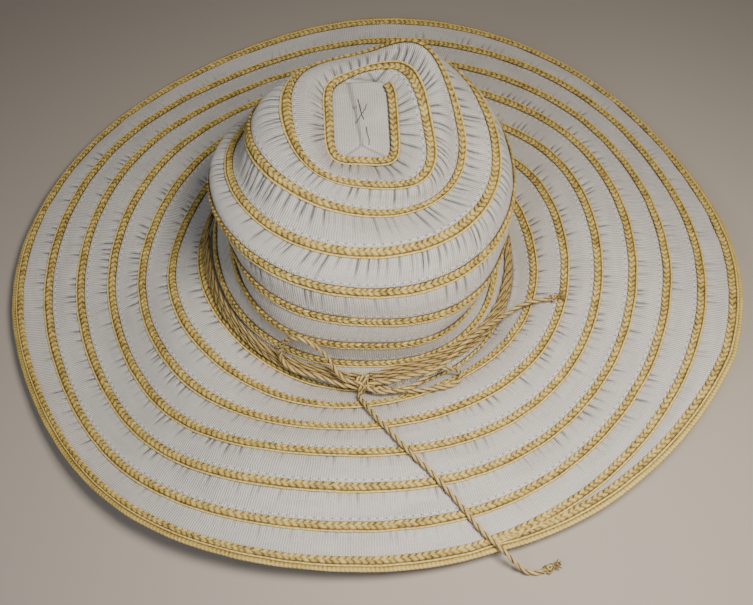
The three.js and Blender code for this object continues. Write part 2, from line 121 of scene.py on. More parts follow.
@dataclass(frozen=True)
class HatForm:
    """The middle of the hat's cloth and its spiral seam, as in the part's source.

    Places are counted in ribbons along the cloth, above 0 up the crown and below 0 out on the brim,
    and in radians round the hat.
    """

    head_width: float = 175.4
    head_depth: float = 191.6
    crown_height: float = 104.0
    pitch: float = 18.7
    cloth: float = 1.2
    lift: float = 2.5
    crown_turns: int = 8
    brim_turns: int = 7
    seam_start: float = math.radians(-74.0)
    edge_taper: float = 0.128
    braid_width: float = 5.2
    seat_gap: float = 0.3
    crown_rows: tuple = (
        CrownRow(0.062, -0.117, 0.038, 0.0, 0.0, 1.0, 1.0, 2.0),
        CrownRow(0.224, -0.143, 0.056, -0.01, 0.04, 0.9, 0.946, 2.27),
        CrownRow(0.387, -0.174, 0.054, -0.01, 0.06, 0.787, 0.975, 2.66),
        CrownRow(0.552, -0.183, 0.051, 0.04, 0.05, 0.865, 0.951, 2.44),
        CrownRow(0.725, -0.171, 0.051, 0.04, 0.08, 0.936, 0.941, 2.12),
        CrownRow(0.832, -0.109, 0.055, 0.09, 0.08, 0.81, 0.782, 2.1),
        CrownRow(0.94, -0.28, 0.21, 0.06, 0.097, 0.635, 0.554, 2.0),
        CrownRow(0.99, -0.24, 0.2, 0.09, 0.093, 0.41, 0.431, 2.94),
        CrownRow(0.946, -0.14, 0.253, 0.05, 0.125, 0.207, 0.272, 5.0),
    )
    crown_dents: tuple = (Dent(4.1, 132.0, 2.5, 57.0, 28.0), Dent(6.25, 45.0, 1.05, 32.0, -22.0))
    dent_ease: float = 2.0
    # mean slope in degrees, then cosine and sine shares of the first four waves round the hat
    brim_rows: tuple = (
        (5.0, 20.7, -33.0, 2.9, -2.6, 6.5, 0.2, -0.3, 10.2),
        (4.5, 10.5, 5.6, -5.0, 2.9, 1.3, 6.9, 4.1, -9.8),
        (-4.8, -0.6, 2.7, 3.5, -2.0, -4.3, -7.5, -3.5, -1.5),
        (10.6, -13.2, -2.4, -3.0, 6.5, 2.7, -18.4, -0.6, 2.3),
    )

    @property
    def layer(self) -> float:
        """Height over the cloth's middle where the next layer starts."""
        return self.cloth / 2.0 + self.seat_gap

    def section_centre(self, row: CrownRow) -> np.ndarray:
        """Centre of one crown section.

        Args:
            row: the section's own row of shares.

        Returns:
            The centre, (3,) in mm.
        """
        return np.array([
            row.centre_x * self.head_width / 2.0,
            row.centre_y * self.head_depth / 2.0,
            self.lift + row.height * self.crown_height,
        ])

    def section(self, row: CrownRow, angle: np.ndarray) -> np.ndarray:
        """Points of one crown section.

        The outline is a superellipse, |x/a|^n + |y/b|^n = 1, tipped by its slopes and moved off centre.

        Args:
            row: the section's own row of shares.
            angle: angles round the hat in radians.

        Returns:
            One point in mm for each angle.
        """
        a = row.width * self.head_width / 2.0
        b = row.depth * self.head_depth / 2.0
        n = row.squareness
        c = np.cos(angle)
        s = np.sin(angle)
        radius = (np.abs(c / a) ** n + np.abs(s / b) ** n) ** (-1.0 / n)
        x = radius * c
        y = radius * s
        return self.section_centre(row) + np.stack([x, y, row.tip_x * x + row.tip_y * y], axis=-1)

    def crown_drop(self, ribbons: np.ndarray, angle: np.ndarray) -> np.ndarray:
        """How far the dents lower the cloth: soft bells, exp(-along^2 - round^2), that fade to the foot.

        Args:
            ribbons: places up the crown, in ribbons from its foot.
            angle: angles round the hat in radians, one for each place.

        Returns:
            The drop in mm at each place.
        """
        total = np.zeros(np.broadcast(ribbons, angle).shape)
        for dent in self.crown_dents:
            turn = angle - math.radians(dent.angle)
            around = np.arctan2(np.sin(turn), np.cos(turn)) / math.radians(dent.angle_wide)
            up = (ribbons - dent.ribbons) / dent.ribbons_wide
            total += dent.drop * np.exp(-(up**2) - around**2)
        return total * smooth(ribbons / self.dent_ease)

    def crown_point(self, ribbons: np.ndarray, angle: np.ndarray) -> np.ndarray:
        """Middle of the crown's wall.

        A Catmull-Rom curve runs through the sections at each angle, lowered by the dents. Past the last
        section the cloth is the flat patch, a straight line to that section's centre.

        Args:
            ribbons: places up the crown, in ribbons from its foot.
            angle: angles round the hat in radians, one for each place.

        Returns:
            One point in mm for each place.
        """
        last = len(self.crown_rows) - 1
        rings = [self.section(row, angle) for row in self.crown_rows]
        rings = np.stack([2 * rings[0] - rings[1], *rings, 2 * rings[-1] - rings[-2]])
        index = np.clip(np.floor(ribbons).astype(int), 0, last - 1)
        t = (np.minimum(ribbons, last) - index)[..., None]
        flat = rings.reshape(rings.shape[0], -1, 3)
        where = np.arange(flat.shape[1])
        step = index.reshape(-1)
        p0, p1, p2, p3 = (flat[step + k, where].reshape(*index.shape, 3) for k in range(4))
        cubic = (3 * (p1 - p2) + p3 - p0) * t**3
        point = 0.5 * (2 * p1 + (p2 - p0) * t + (2 * p0 - 5 * p1 + 4 * p2 - p3) * t * t + cubic)
        point[..., 2] -= self.crown_drop(np.minimum(ribbons, last), angle)
        rim = rings[last + 1].copy()
        rim[..., 2] -= self.crown_drop(np.full(angle.shape, float(last)), angle)
        inward = self.section_centre(self.crown_rows[-1]) - rim
        beyond = np.maximum(ribbons - last, 0.0)[..., None] * self.pitch
        point = np.where(beyond > 0, rim + unit(inward) * beyond, point)
        return self.rested(point)

    def brim_slopes(self, angle: np.ndarray) -> np.ndarray:
        """Slope of each brim row round the hat, in radians: a mean and four waves.

        Args:
            angle: angles round the hat in radians.

        Returns:
            The slopes, by row and then by angle.
        """
        waves = [np.ones_like(angle)]
        for n in range(1, 5):
            waves += [np.cos(n * angle), np.sin(n * angle)]
        return np.radians(np.tensordot(np.array(self.brim_rows), np.stack(waves), axes=1))

    def brim_point(self, out: np.ndarray, angle: np.ndarray) -> np.ndarray:
        """Middle of the brim's cloth, a number of ribbons out from the crown's foot.

        The radius grows by the cosine of the slope and the height by its sine, summed in 24 pieces, and
        the slope eases from row to row of the table.

        Args:
            out: ribbons out from the crown's foot.
            angle: angles round the hat in radians, one for each place.

        Returns:
            One point in mm for each place.
        """
        pieces = 24
        rows = self.brim_slopes(angle)
        foot = self.section(self.crown_rows[0], angle)
        radius = np.hypot(foot[..., 0], foot[..., 1])
        height = foot[..., 2].copy()
        for i in range(pieces):
            place = out * (i + 0.5) / pieces / self.brim_turns * (len(self.brim_rows) - 1)
            index = np.clip(np.floor(place).astype(int), 0, len(self.brim_rows) - 2)
            ease = smooth(place - index)
            inner = np.take_along_axis(rows, index[None], axis=0)[0]
            outer = np.take_along_axis(rows, index[None] + 1, axis=0)[0]
            slope = inner + (outer - inner) * ease
            radius = radius + np.cos(slope) * out * self.pitch / pieces
            height = height + np.sin(slope) * out * self.pitch / pieces
        point = np.stack([radius * np.cos(angle), radius * np.sin(angle), height], axis=-1)
        return self.rested(point)

    def rested(self, point: np.ndarray) -> np.ndarray:
        """Cloth that would reach below the surface lies flat on it."""
        point[..., 2] = np.maximum(point[..., 2], self.cloth / 2.0)
        return point

    def on_cloth(self, ribbons: np.ndarray, angle: np.ndarray, side: Side) -> np.ndarray:
        """Points on the middle of the cloth.

        Args:
            ribbons: places along the cloth in ribbons from the crown's foot, below 0 on the brim.
            angle: angles round the hat in radians, one for each place.
            side: the part of the cloth that they are on.

        Returns:
            One point in mm for each place.
        """
        if side is Side.CROWN:
            return self.crown_point(ribbons, angle)
        return self.brim_point(np.maximum(-ribbons, 0.0), angle)

    def normal(self, ribbons: np.ndarray, angle: np.ndarray, side: Side) -> np.ndarray:
        """Outward normal: the cross product of a step round the hat and a step along the cloth.

        Args:
            ribbons: places along the cloth in ribbons from the crown's foot, below 0 on the brim.
            angle: angles round the hat in radians, one for each place.
            side: the part of the cloth that they are on.

        Returns:
            One unit vector for each place.
        """
        along = self.on_cloth(ribbons + 0.02, angle, side) - self.on_cloth(ribbons - 0.02, angle, side)
        around = self.on_cloth(ribbons, angle + 0.01, side) - self.on_cloth(ribbons, angle - 0.01, side)
        return unit(np.cross(around, along))

    def off_cloth(self, ribbons: np.ndarray, angle: np.ndarray, height: np.ndarray | float,
                  side: Side) -> np.ndarray:
        """Points held off the middle of the cloth by a height along its normal."""
        lifted = self.normal(ribbons, angle, side) * np.asarray(height, dtype=float)[..., None]
        return self.on_cloth(ribbons, angle, side) + lifted

    def angle_at(self, share: np.ndarray) -> np.ndarray:
        """Angle round the hat at a share of a turn of the spiral."""
        return self.seam_start + TURN * share

    def seam_line(self, turn: int, share: np.ndarray) -> np.ndarray:
        """Place of the seam in ribbons along the cloth, at a share of one turn.

        The line climbs one ribbon a turn. It starts with a taper at the brim's edge and ends by easing
        into the rim of the patch.

        Args:
            turn: the turn's number, below 0 on the brim.
            share: shares of the turn, 0 to 1.

        Returns:
            The places, one for each share.
        """
        if turn == -self.brim_turns:
            taper = self.brim_turns - 1 - share + np.minimum(1.0, share / self.edge_taper)
            return -np.minimum(self.brim_turns - share, taper)
        if turn >= self.crown_turns:
            return np.full_like(share, float(self.crown_turns))
        line = turn + share
        if turn < self.crown_turns - 1:
            return line
        return line + (self.crown_turns - line) * smooth((share - 0.43) / 0.13)

    def braid_line(self, turn: int, share: np.ndarray) -> np.ndarray:
        """Middle of the braid on one turn: the seam, or just inside the edge on the outermost turn.

        Args:
            turn: the turn's number, below 0 on the brim.
            share: shares of the turn, 0 to 1.

        Returns:
            The places in ribbons along the cloth, one for each share.
        """
        half = self.braid_width / 2.0 / self.pitch
        if turn == -self.brim_turns:
            return self.seam_line(turn, share) + half
        if turn == 1 - self.brim_turns:
            return self.seam_line(turn, share) + half * (1.0 - smooth(share / 0.15))
        return self.seam_line(turn, share)


# meshes from arrays


def smooth_noise(place: np.ndarray, seed: int, octaves: int = 3) -> np.ndarray:
    """Soft random waves along a line, about -1 to 1: value noise eased between whole numbers.

    Args:
        place: places along the line.
        seed: starts the random values.
        octaves: how many waves are summed, each twice as fine and half as strong as the last.

    Returns:
        One value for each place.
    """
    total = np.zeros_like(place, dtype=float)
    for octave in range(octaves):
        values = np.random.default_rng(seed + 31 * octave).uniform(-1.0, 1.0, 4096)
        x = place * 2.0**octave
        cell = np.floor(x).astype(int)
        ease = smooth(x - cell)
        low = values[cell % 4096]
        high = values[(cell + 1) % 4096]
        total += (low + (high - low) * ease) * 0.5**octave
    return total / 1.75


def write_mesh(name: str, points: np.ndarray, quads: np.ndarray, ends: list[np.ndarray],
               facts: dict[str, np.ndarray]) -> bpy.types.Object:
    """A mesh object from arrays.

    Args:
        name: the object's name.
        points: (n, 3) corners in mm, in the hat's frame.
        quads: (m, 4) faces, or (m, 3).
        ends: polygons that close the open ends, each a list of corners.
        facts: attributes on the corners, one column or three.

    Returns:
        The new object, smooth shaded, with its place in its mesh.
    """
    mesh = bpy.data.meshes.new(name)
    corners = np.concatenate([quads.reshape(-1), *ends]).astype(np.int32)
    sizes = np.array([quads.shape[1]] * len(quads) + [len(end) for end in ends], dtype=np.int32)
    mesh.vertices.add(len(points))
    mesh.vertices.foreach_set("co", to_row(points).reshape(-1).astype(np.float32))
    mesh.loops.add(len(corners))
    mesh.loops.foreach_set("vertex_index", corners)
    mesh.polygons.add(len(sizes))
    mesh.polygons.foreach_set("loop_start", np.concatenate([[0], np.cumsum(sizes)[:-1]]).astype(np.int32))
    mesh.polygons.foreach_set("use_smooth", np.ones(len(sizes), dtype=bool))
    for label, values in facts.items():
        wide = values.ndim == 2
        layer = mesh.attributes.new(label, "FLOAT_VECTOR" if wide else "FLOAT", "POINT")
        layer.data.foreach_set("vector" if wide else "value", values.reshape(-1).astype(np.float32))
    mesh.update(calc_edges=True)
    mesh.validate()
    piece = bpy.data.objects.new(name, mesh)
    bpy.context.scene.collection.objects.link(piece)
    return piece


def fused(name: str, strands: list[tuple[np.ndarray, dict[str, np.ndarray]]]) -> bpy.types.Object:
    """One mesh of closed skins over rings of points, each with both its ends capped.

    Point (i, k) of a strand is its corner i*K + k, and each face joins k and k+1 of two neighbouring
    rings.

    Args:
        name: the object's name.
        strands: each one's (n, K, 3) points in mm, every ring anticlockwise seen from the strand's far
            end, with the (n, K) or (n, K, 3) values kept on its corners.

    Returns:
        The new object.
    """
    quads, ends = [], []
    base = 0
    for rings, _ in strands:
        count, sides = rings.shape[:2]
        start = base + np.arange(count - 1)[:, None] * sides
        here = start + np.arange(sides)
        beside = start + (np.arange(sides) + 1) % sides
        quads.append(np.stack([here, beside, beside + sides, here + sides], axis=-1).reshape(-1, 4))
        ends += [base + np.arange(sides)[::-1], base + (count - 1) * sides + np.arange(sides)]
        base += count * sides
    points = np.concatenate([rings.reshape(-1, 3) for rings, _ in strands])
    facts = {}
    for label in strands[0][1]:
        values = [kept[label] for _, kept in strands]
        facts[label] = np.concatenate([v.reshape(-1, *v.shape[2:]) for v in values])
    return write_mesh(name, points, np.concatenate(quads), ends, facts)


def loft(name: str, rings: np.ndarray, facts: dict[str, np.ndarray]) -> bpy.types.Object:
    """A mesh of one closed skin over rings of points."""
    return fused(name, [(rings, facts)])


def dress(piece: bpy.types.Object, finish: bpy.types.Material, slot: str, *nodes: str) -> bpy.types.Object:
    """Gives a piece its finish and body, and hides the CAD nodes that it stands for.

    Args:
        piece: the new piece.
        finish: its material.
        slot: not used.
        nodes: the CAD nodes, or none for a piece that is only added.

    Returns:
        The same piece.
    """
    piece.data.materials.append(finish)
    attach(piece, "root")
    if nodes:
        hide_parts(*nodes)
    return piece


def run_along(points: np.ndarray) -> np.ndarray:
    """Length along a line of points, from its first."""
    return np.concatenate([[0.0], np.cumsum(np.linalg.norm(np.diff(points, axis=0), axis=1))])


def even_shares(form: HatForm, line: Callable[[np.ndarray], np.ndarray], side: Side, start: float,
                end: float, step: float) -> np.ndarray:
    """Shares of one turn that lie a step apart along a line on the cloth.

    Args:
        form: the cloth's surface.
        line: gives the line's place in ribbons at a share of the turn.
        side: the part of the cloth that the line is on.
        start: the first share.
        end: the last share.
        step: mm between neighbours, measured on a fine polyline.

    Returns:
        The shares, (n,).
    """
    fine = np.linspace(start, end, 1500)
    run = run_along(form.on_cloth(line(fine), form.angle_at(fine), side))
    count = max(4, int(round(run[-1] / step)) + 1)
    return np.interp(np.linspace(0.0, run[-1], count), run, fine)


def resampled(points: np.ndarray, count: int) -> np.ndarray:
    """A line of points as a number of points evenly spaced along it.

    Args:
        points: the line, (n, 3).
        count: how many points are wanted.

    Returns:
        The new points, (count, 3).
    """
    run = run_along(points)
    even = np.linspace(0.0, run[-1], count)
    return np.stack([np.interp(even, run, points[:, k]) for k in range(3)], axis=-1)


# finishes


Socket = bpy.types.NodeSocket
Value = Socket | float | tuple

# the colour Mix node's sockets, which share their names with its other kinds' sockets
MIX_FIRST, MIX_SECOND, MIX_RESULT = 6, 7, 2


class Board:
    """A material's nodes, with short calls that add one and link it."""

    def __init__(self, name: str) -> None:
        """Starts a node material with its Principled shader.

        Args:
            name: the material's name.
        """
        self.material = bpy.data.materials.new(name)
        self.material.use_nodes = True
        self.tree = self.material.node_tree
        self.shader = self.tree.nodes["Principled BSDF"]

    def plug(self, socket: Socket, value: Value) -> None:
        """Links a socket, or sets the socket's own value.

        Args:
            socket: the input.
            value: another node's output, or the value to set.
        """
        if isinstance(value, Socket):
            self.tree.links.new(value, socket)
        else:
            socket.default_value = value

    def node(self, kind: str, inputs: dict[str | int, Value], **settings: str) -> bpy.types.Node:
        """One node of a kind, with its settings and inputs.

        Args:
            kind: the node's type.
            inputs: what each input takes, by its name or number.
            settings: the node's own settings.

        Returns:
            The new node.
        """
        node = self.tree.nodes.new(kind)
        for key, value in settings.items():
            setattr(node, key, value)
        for key, value in inputs.items():
            self.plug(node.inputs[key], value)
        return node

    def attribute(self, name: str) -> bpy.types.Node:
        """The node that reads one of the piece's own attributes."""
        return self.node("ShaderNodeAttribute", {}, attribute_name=name)

    def maths(self, operation: str, *values: Value) -> Socket:
        """One sum on numbers."""
        return self.node("ShaderNodeMath", dict(enumerate(values)), operation=operation).outputs[0]

    def noise(self, vector: Socket, scale: float, detail: float = 3.0) -> Socket:
        """Noise from 0 to 1 over a vector."""
        inputs = {"Vector": vector, "Scale": scale, "Detail": detail, "Roughness": 0.55}
        return self.node("ShaderNodeTexNoise", inputs).outputs["Fac"]

    def stretched(self, vector: Socket, scale: tuple[float, float, float]) -> Socket:
        """A vector scaled along its axes."""
        return self.node("ShaderNodeMapping", {"Vector": vector, "Scale": scale}).outputs[0]

    def ramp(self, value: Socket, stops: list[tuple[float, tuple[float, float, float]]]) -> Socket:
        """Colours laid along a number from 0 to 1.

        Args:
            value: the number.
            stops: places with their colours, the two ends first.

        Returns:
            The colour.
        """
        node = self.node("ShaderNodeValToRGB", {"Fac": value})
        elements = node.color_ramp.elements
        for spot, (place, colour) in enumerate(stops):
            element = elements[spot] if spot < 2 else elements.new(place)
            element.position = place
            element.color = (*colour, 1.0)
        return node.outputs["Color"]

    def blend(self, share: Value, first: Value, second: Value) -> Socket:
        """Two colours mixed by a share.

        Args:
            share: how much of the second colour there is, 0 to 1.
            first: the first colour.
            second: the second colour.

        Returns:
            The mixed colour.
        """
        node = self.node("ShaderNodeMix", {"Factor": share}, data_type="RGBA")
        self.plug(node.inputs[MIX_FIRST], first)
        self.plug(node.inputs[MIX_SECOND], second)
        return node.outputs[MIX_RESULT]

    def spread(self, value: Socket, low: float, high: float, to_low: float, to_high: float) -> Socket:
        """A number moved from one range to another and held at its ends."""
        names = {"Value": value, "From Min": low, "From Max": high, "To Min": to_low, "To Max": to_high}
        return self.node("ShaderNodeMapRange", names).outputs[0]

    def bump(self, height: Socket, distance: float, below: Socket | None = None) -> Socket:
        """A bump of a depth in metres, over another where one is given.

        Args:
            height: the relief, as a number.
            distance: its depth in metres.
            below: the other bump.

        Returns:
            The normal.
        """
        inputs = {"Height": height, "Distance": distance, "Strength": 1.0}
        if below is not None:
            inputs["Normal"] = below
        return self.node("ShaderNodeBump", inputs).outputs[0]


@dataclass(frozen=True)
class RibbonFinish:
    """Ivory ribbon with fine ribs across it and painted shade in the gathers, with a line of stitches by
    each seam.
    """

    light: tuple = (0.76, 0.73, 0.685, 1.0)
    shade: tuple = (0.40, 0.385, 0.38, 1.0)
    # colour of the painted shade in creases, gathers and grooves; the stitch holes take it too
    crease_shade: tuple = (0.115, 0.115, 0.125, 1.0)
    thread: tuple = (0.88, 0.87, 0.85, 1.0)
    cloud: tuple = (0.42, 0.41, 0.42, 1.0)
    rib_spacing: float = 1.25
    stitch_spacing: float = 4.2
    stitch_inset: float = 3.9

    def ribs(self, board: Board, weave: Socket, along: Socket) -> tuple[Socket, Socket]:
        """The ribs' height, a sine along the ribbon that wanders a little, and how strongly they show.

        Args:
            board: the material's nodes.
            weave: the piece's own weave vector.
            along: length along the ribbon in mm.

        Returns:
            The height, -1 to 1, and the strength.
        """
        wander = board.noise(board.stretched(weave, (0.06, 0.3, 0.3)), 1.0)
        moved = board.maths("MULTIPLY_ADD", wander, 1.6, along)
        rib = board.maths("SINE", board.maths("MULTIPLY", moved, TURN / self.rib_spacing))
        fade = board.noise(board.stretched(weave, (0.04, 0.12, 0.12)), 1.0)
        return rib, board.spread(fade, 0.35, 0.65, 0.45, 1.0)

    def stitches(self, board: Board, along: Socket, inset: Socket) -> tuple[Socket, Socket]:
        """The stitches, dashes on a line beside the seam, and the dark holes at their ends.

        Args:
            board: the material's nodes.
            along: length along the ribbon in mm.
            inset: distance from the outer seam in mm.

        Returns:
            Where the stitches are, and where the holes are, 0 to 1.
        """
        away = board.maths("ABSOLUTE", board.maths("SUBTRACT", inset, self.stitch_inset))
        line = board.spread(away, 0.2, 0.5, 1.0, 0.0)
        dash = board.maths("SINE", board.maths("MULTIPLY", along, TURN / self.stitch_spacing))
        stitch = board.maths("MULTIPLY", line, board.spread(dash, -0.35, 0.0, 0.0, 1.0))
        hole = board.maths("MULTIPLY", line, board.spread(dash, -0.6, -0.9, 0.0, 0.65))
        return stitch, hole

    def folds(self, board: Board) -> Socket:
        """Painted shade along the gathers' lines, from their distance, their strength and which fold is
        nearer.

        Args:
            board: the material's nodes.

        Returns:
            The darkness, 0 to 1.
        """
        parts = board.node("ShaderNodeSeparateXYZ", {0: board.attribute("fold").outputs["Vector"]})
        line = board.spread(board.maths("ABSOLUTE", parts.outputs[1]), 0.05, 1.0, 1.0, 0.0)
        line = board.maths("MULTIPLY", line, board.spread(parts.outputs[0], 0.0, 0.4, 0.0, 1.0))
        return board.maths("MULTIPLY", line, parts.outputs[2])

    def material(self) -> bpy.types.Material:
        """The finish as nodes: ribs tone and raise the cloth, over soft noise along the ribbon, with painted
        shade in the creases and gathers.

        Returns:
            The material, which reads a piece's weave, crease_shade and fold, the last two for painted shade.
        """
        board = Board("ribbon_ivory_ribbed")
        weave = board.attribute("weave").outputs["Vector"]
        parts = board.node("ShaderNodeSeparateXYZ", {0: weave})
        along = parts.outputs[0]
        rib, strength = self.ribs(board, weave, along)
        # the ribs blend from light to shade: painted shade in the rib valleys, over the ribs' bump
        shading_and_tone = board.maths("MULTIPLY", board.spread(rib, -1.0, 1.0, 0.0, 0.8), strength)
        cloth = board.blend(shading_and_tone, self.light, self.shade)
        thread = board.noise(board.stretched(weave, (0.7, 3.5, 3.5)), 1.0, 2.0)
        cloth = board.blend(board.spread(thread, 0.4, 0.75, 0.0, 0.45), cloth, self.shade)
        patch = board.noise(board.stretched(weave, (0.035, 0.1, 0.1)), 1.0, 2.0)
        cloth = board.blend(board.spread(patch, 0.35, 0.7, 0.0, 0.22), cloth, self.cloud)
        stitch, hole = self.stitches(board, along, parts.outputs[2])
        # painted shade in the creases and along the gathers' fold lines, and the stitch holes, all in the
        # crease_shade colour
        crease_shade = board.maths("MAXIMUM", board.attribute("crease_shade").outputs["Fac"], self.folds(board))
        cloth = board.blend(board.maths("MAXIMUM", crease_shade, hole), cloth, self.crease_shade)
        cloth = board.blend(board.maths("MULTIPLY", stitch, 0.75), cloth, self.thread)
        board.plug(board.shader.inputs["Base Color"], cloth)
        board.plug(board.shader.inputs["Roughness"], board.spread(patch, 0.3, 0.7, 0.4, 0.6))
        board.shader.inputs["Sheen Weight"].default_value = 0.25
        board.shader.inputs["Sheen Roughness"].default_value = 0.4
        board.shader.inputs["Specular IOR Level"].default_value = 0.5
        grain = board.bump(board.maths("ADD", thread, stitch), 0.00018)
        board.plug(board.shader.inputs["Normal"], board.bump(rib, 0.00012, grain))
        return board.material


@dataclass(frozen=True)
class StrawFinish:
    """Golden straw: painted shade in the pits of the plait, painted light on its rim and lobes, with fibres
    along each strand.
    """

    name: str
    pit_shade: tuple = (0.07, 0.04, 0.012)
    body: tuple = (0.57, 0.415, 0.115)
    pale: tuple = (0.89, 0.735, 0.33)
    roughness: float = 0.55
    fibre: tuple = (0.5, 7.0, 7.0)

    def material(self) -> bpy.types.Material:
        """The piece's shading_and_tone, painted light and shade, picks the colour, and stretched noise in
        its own space makes the fibres.

        Returns:
            The material, which reads a piece's weave and shading_and_tone.
        """
        board = Board(self.name)
        weave = board.attribute("weave").outputs["Vector"]
        shading_and_tone = board.attribute("shading_and_tone").outputs["Fac"]
        fibres = board.noise(board.stretched(weave, self.fibre), 1.0, 2.0)
        patches = board.noise(board.stretched(weave, (0.09, 0.4, 0.4)), 1.0, 2.0)
        deep = board.maths("MULTIPLY_ADD", shading_and_tone, 1.3, -0.12)
        shift = board.maths("MULTIPLY_ADD", board.maths("SUBTRACT", fibres, 0.5), 0.9, deep)
        shift = board.maths("MULTIPLY_ADD", board.maths("SUBTRACT", patches, 0.5), 0.45, shift)
        # pit_shade at the dark end is painted shade, and the pale end is painted light on the tops
        stops = [(0.0, self.pit_shade), (1.0, self.pale), (0.45, self.body)]
        board.plug(board.shader.inputs["Base Color"], board.ramp(shift, stops))
        board.shader.inputs["Roughness"].default_value = self.roughness
        board.shader.inputs["Specular IOR Level"].default_value = 0.35
        board.plug(board.shader.inputs["Normal"], board.bump(fibres, 0.00015))
        return board.material


CORD_FIBRE = (0.35, 2.2, 2.2)
STRAW = StrawFinish("straw_golden")
LOOSE_STRAW = StrawFinish("straw_cord", body=(0.45, 0.32, 0.12), pale=(0.74, 0.59, 0.31), fibre=CORD_FIBRE)
# a darker copy of the cord's straw: painted shade for the windings under the crown's overhang
SHADED_BAND_STRAW = StrawFinish("straw_band_shaded", body=(0.34, 0.235, 0.08), pale=(0.62, 0.47, 0.21), fibre=CORD_FIBRE)
DARK_THREAD = StrawFinish("stray_thread", body=(0.16, 0.14, 0.12), pale=(0.3, 0.28, 0.25))


# the ribbon


@dataclass(frozen=True)
class FoldRange:
    """Mean gap between neighbouring folds and how far they run across the ribbon, in mm."""

    gap: float
    shortest: float
    longest: float


@dataclass(frozen=True)
class Gathers:
    """Short folds that start under a braid and run out across the ribbon beside it."""

    seed: int = 11
    on_crown: FoldRange = FoldRange(4.7, 11.0, 20.0)
    on_brim: FoldRange = FoldRange(4.9, 5.5, 13.0)
    deepest: float = 1.6
    most_lean: float = 0.32

    def pleats(self, along: np.ndarray, across: np.ndarray, full: np.ndarray,
               side: Side) -> tuple[np.ndarray, np.ndarray]:
        """Depth of the folds, and where each fold's line runs.

        Each fold is a groove, exp(-(distance / width)^2), that fades out across the ribbon, and the folds
        on both sides of a point are added. The folds lean a little, by a slowly changing share of the
        distance across.

        Args:
            along: lengths along the ribbon in mm, (n,).
            across: distances from the ribbon's inner seam in mm, (n, k).
            full: how full the gathers are at each length, 0 to 1.3, (n,).
            side: the part of the cloth, as the crown's folds are longer than the brim's.

        Returns:
            Depth in mm, (n, k), and for the painted shade along the folds, (n, k, 3): the cosine of the
            place between two folds, the distance from the nearer fold's line, and that fold's strength.
        """
        on_crown = side is Side.CROWN
        rng = np.random.default_rng(self.seed + (1 if on_crown else 2))
        kind = self.on_crown if on_crown else self.on_brim
        count = int(along[-1] / kind.gap) + 60
        places = np.cumsum(rng.uniform(0.5, 1.5, count) * kind.gap) - 6.0 * kind.gap
        widths = rng.uniform(0.7, 1.3, count)
        reach = rng.uniform(kind.shortest, kind.longest, count)
        depths = rng.uniform(0.2, 1.0, count) ** 1.3 * self.deepest
        lean = self.most_lean * smooth_noise(along / 26.0, self.seed + 5, 2)
        leaned = along[:, None] - lean[:, None] * across
        after = np.clip(np.searchsorted(places, leaned), 1, count - 1)
        before = after - 1
        depth = np.zeros_like(across)
        for near in (before, after):
            fade = 1.0 - smooth((across / reach[near] - 0.3) / 0.7)
            depth += np.exp(-(((leaned - places[near]) / widths[near]) ** 2)) * depths[near] * fade
        between = places[after] - places[before]
        phase = (leaned - places[before]) / between * TURN
        nearer = np.where(np.cos(phase / 2.0) > 0.0, before, after)
        # line_fade and strength set how dark the painted shade along the nearer fold's line is
        line_fade = 1.0 - smooth((across / reach[nearer] - 0.25) / 0.7)
        strength = np.clip(depths[nearer] * line_fade * full[:, None] * 1.5, 0.0, 1.0)
        line = np.stack([np.cos(phase), between * np.sin(phase) / TURN, strength], axis=-1)
        return depth * full[:, None], line


@dataclass(frozen=True)
class Tuck:
    """A fold in the crown's top, along a straight line seen from above, in mm."""

    start: tuple
    end: tuple
    depth: float
    width: float

    def distance(self, points: np.ndarray) -> np.ndarray:
        """Level distance from points to the fold's line, held at its ends.

        Args:
            points: places on the cloth in mm, (..., 3).

        Returns:
            The distances in mm.
        """
        start = np.array(self.start)
        along = np.array(self.end) - start
        offset = points[..., :2] - start
        share = np.clip(offset @ along / (along @ along), 0.0, 1.0)
        return np.linalg.norm(offset - share[..., None] * along, axis=-1)

    def groove(self, points: np.ndarray) -> np.ndarray:
        """Depth of the fold: its own depth times exp(-(distance / width)^2)."""
        return self.depth * np.exp(-((self.distance(points) / self.width) ** 2))


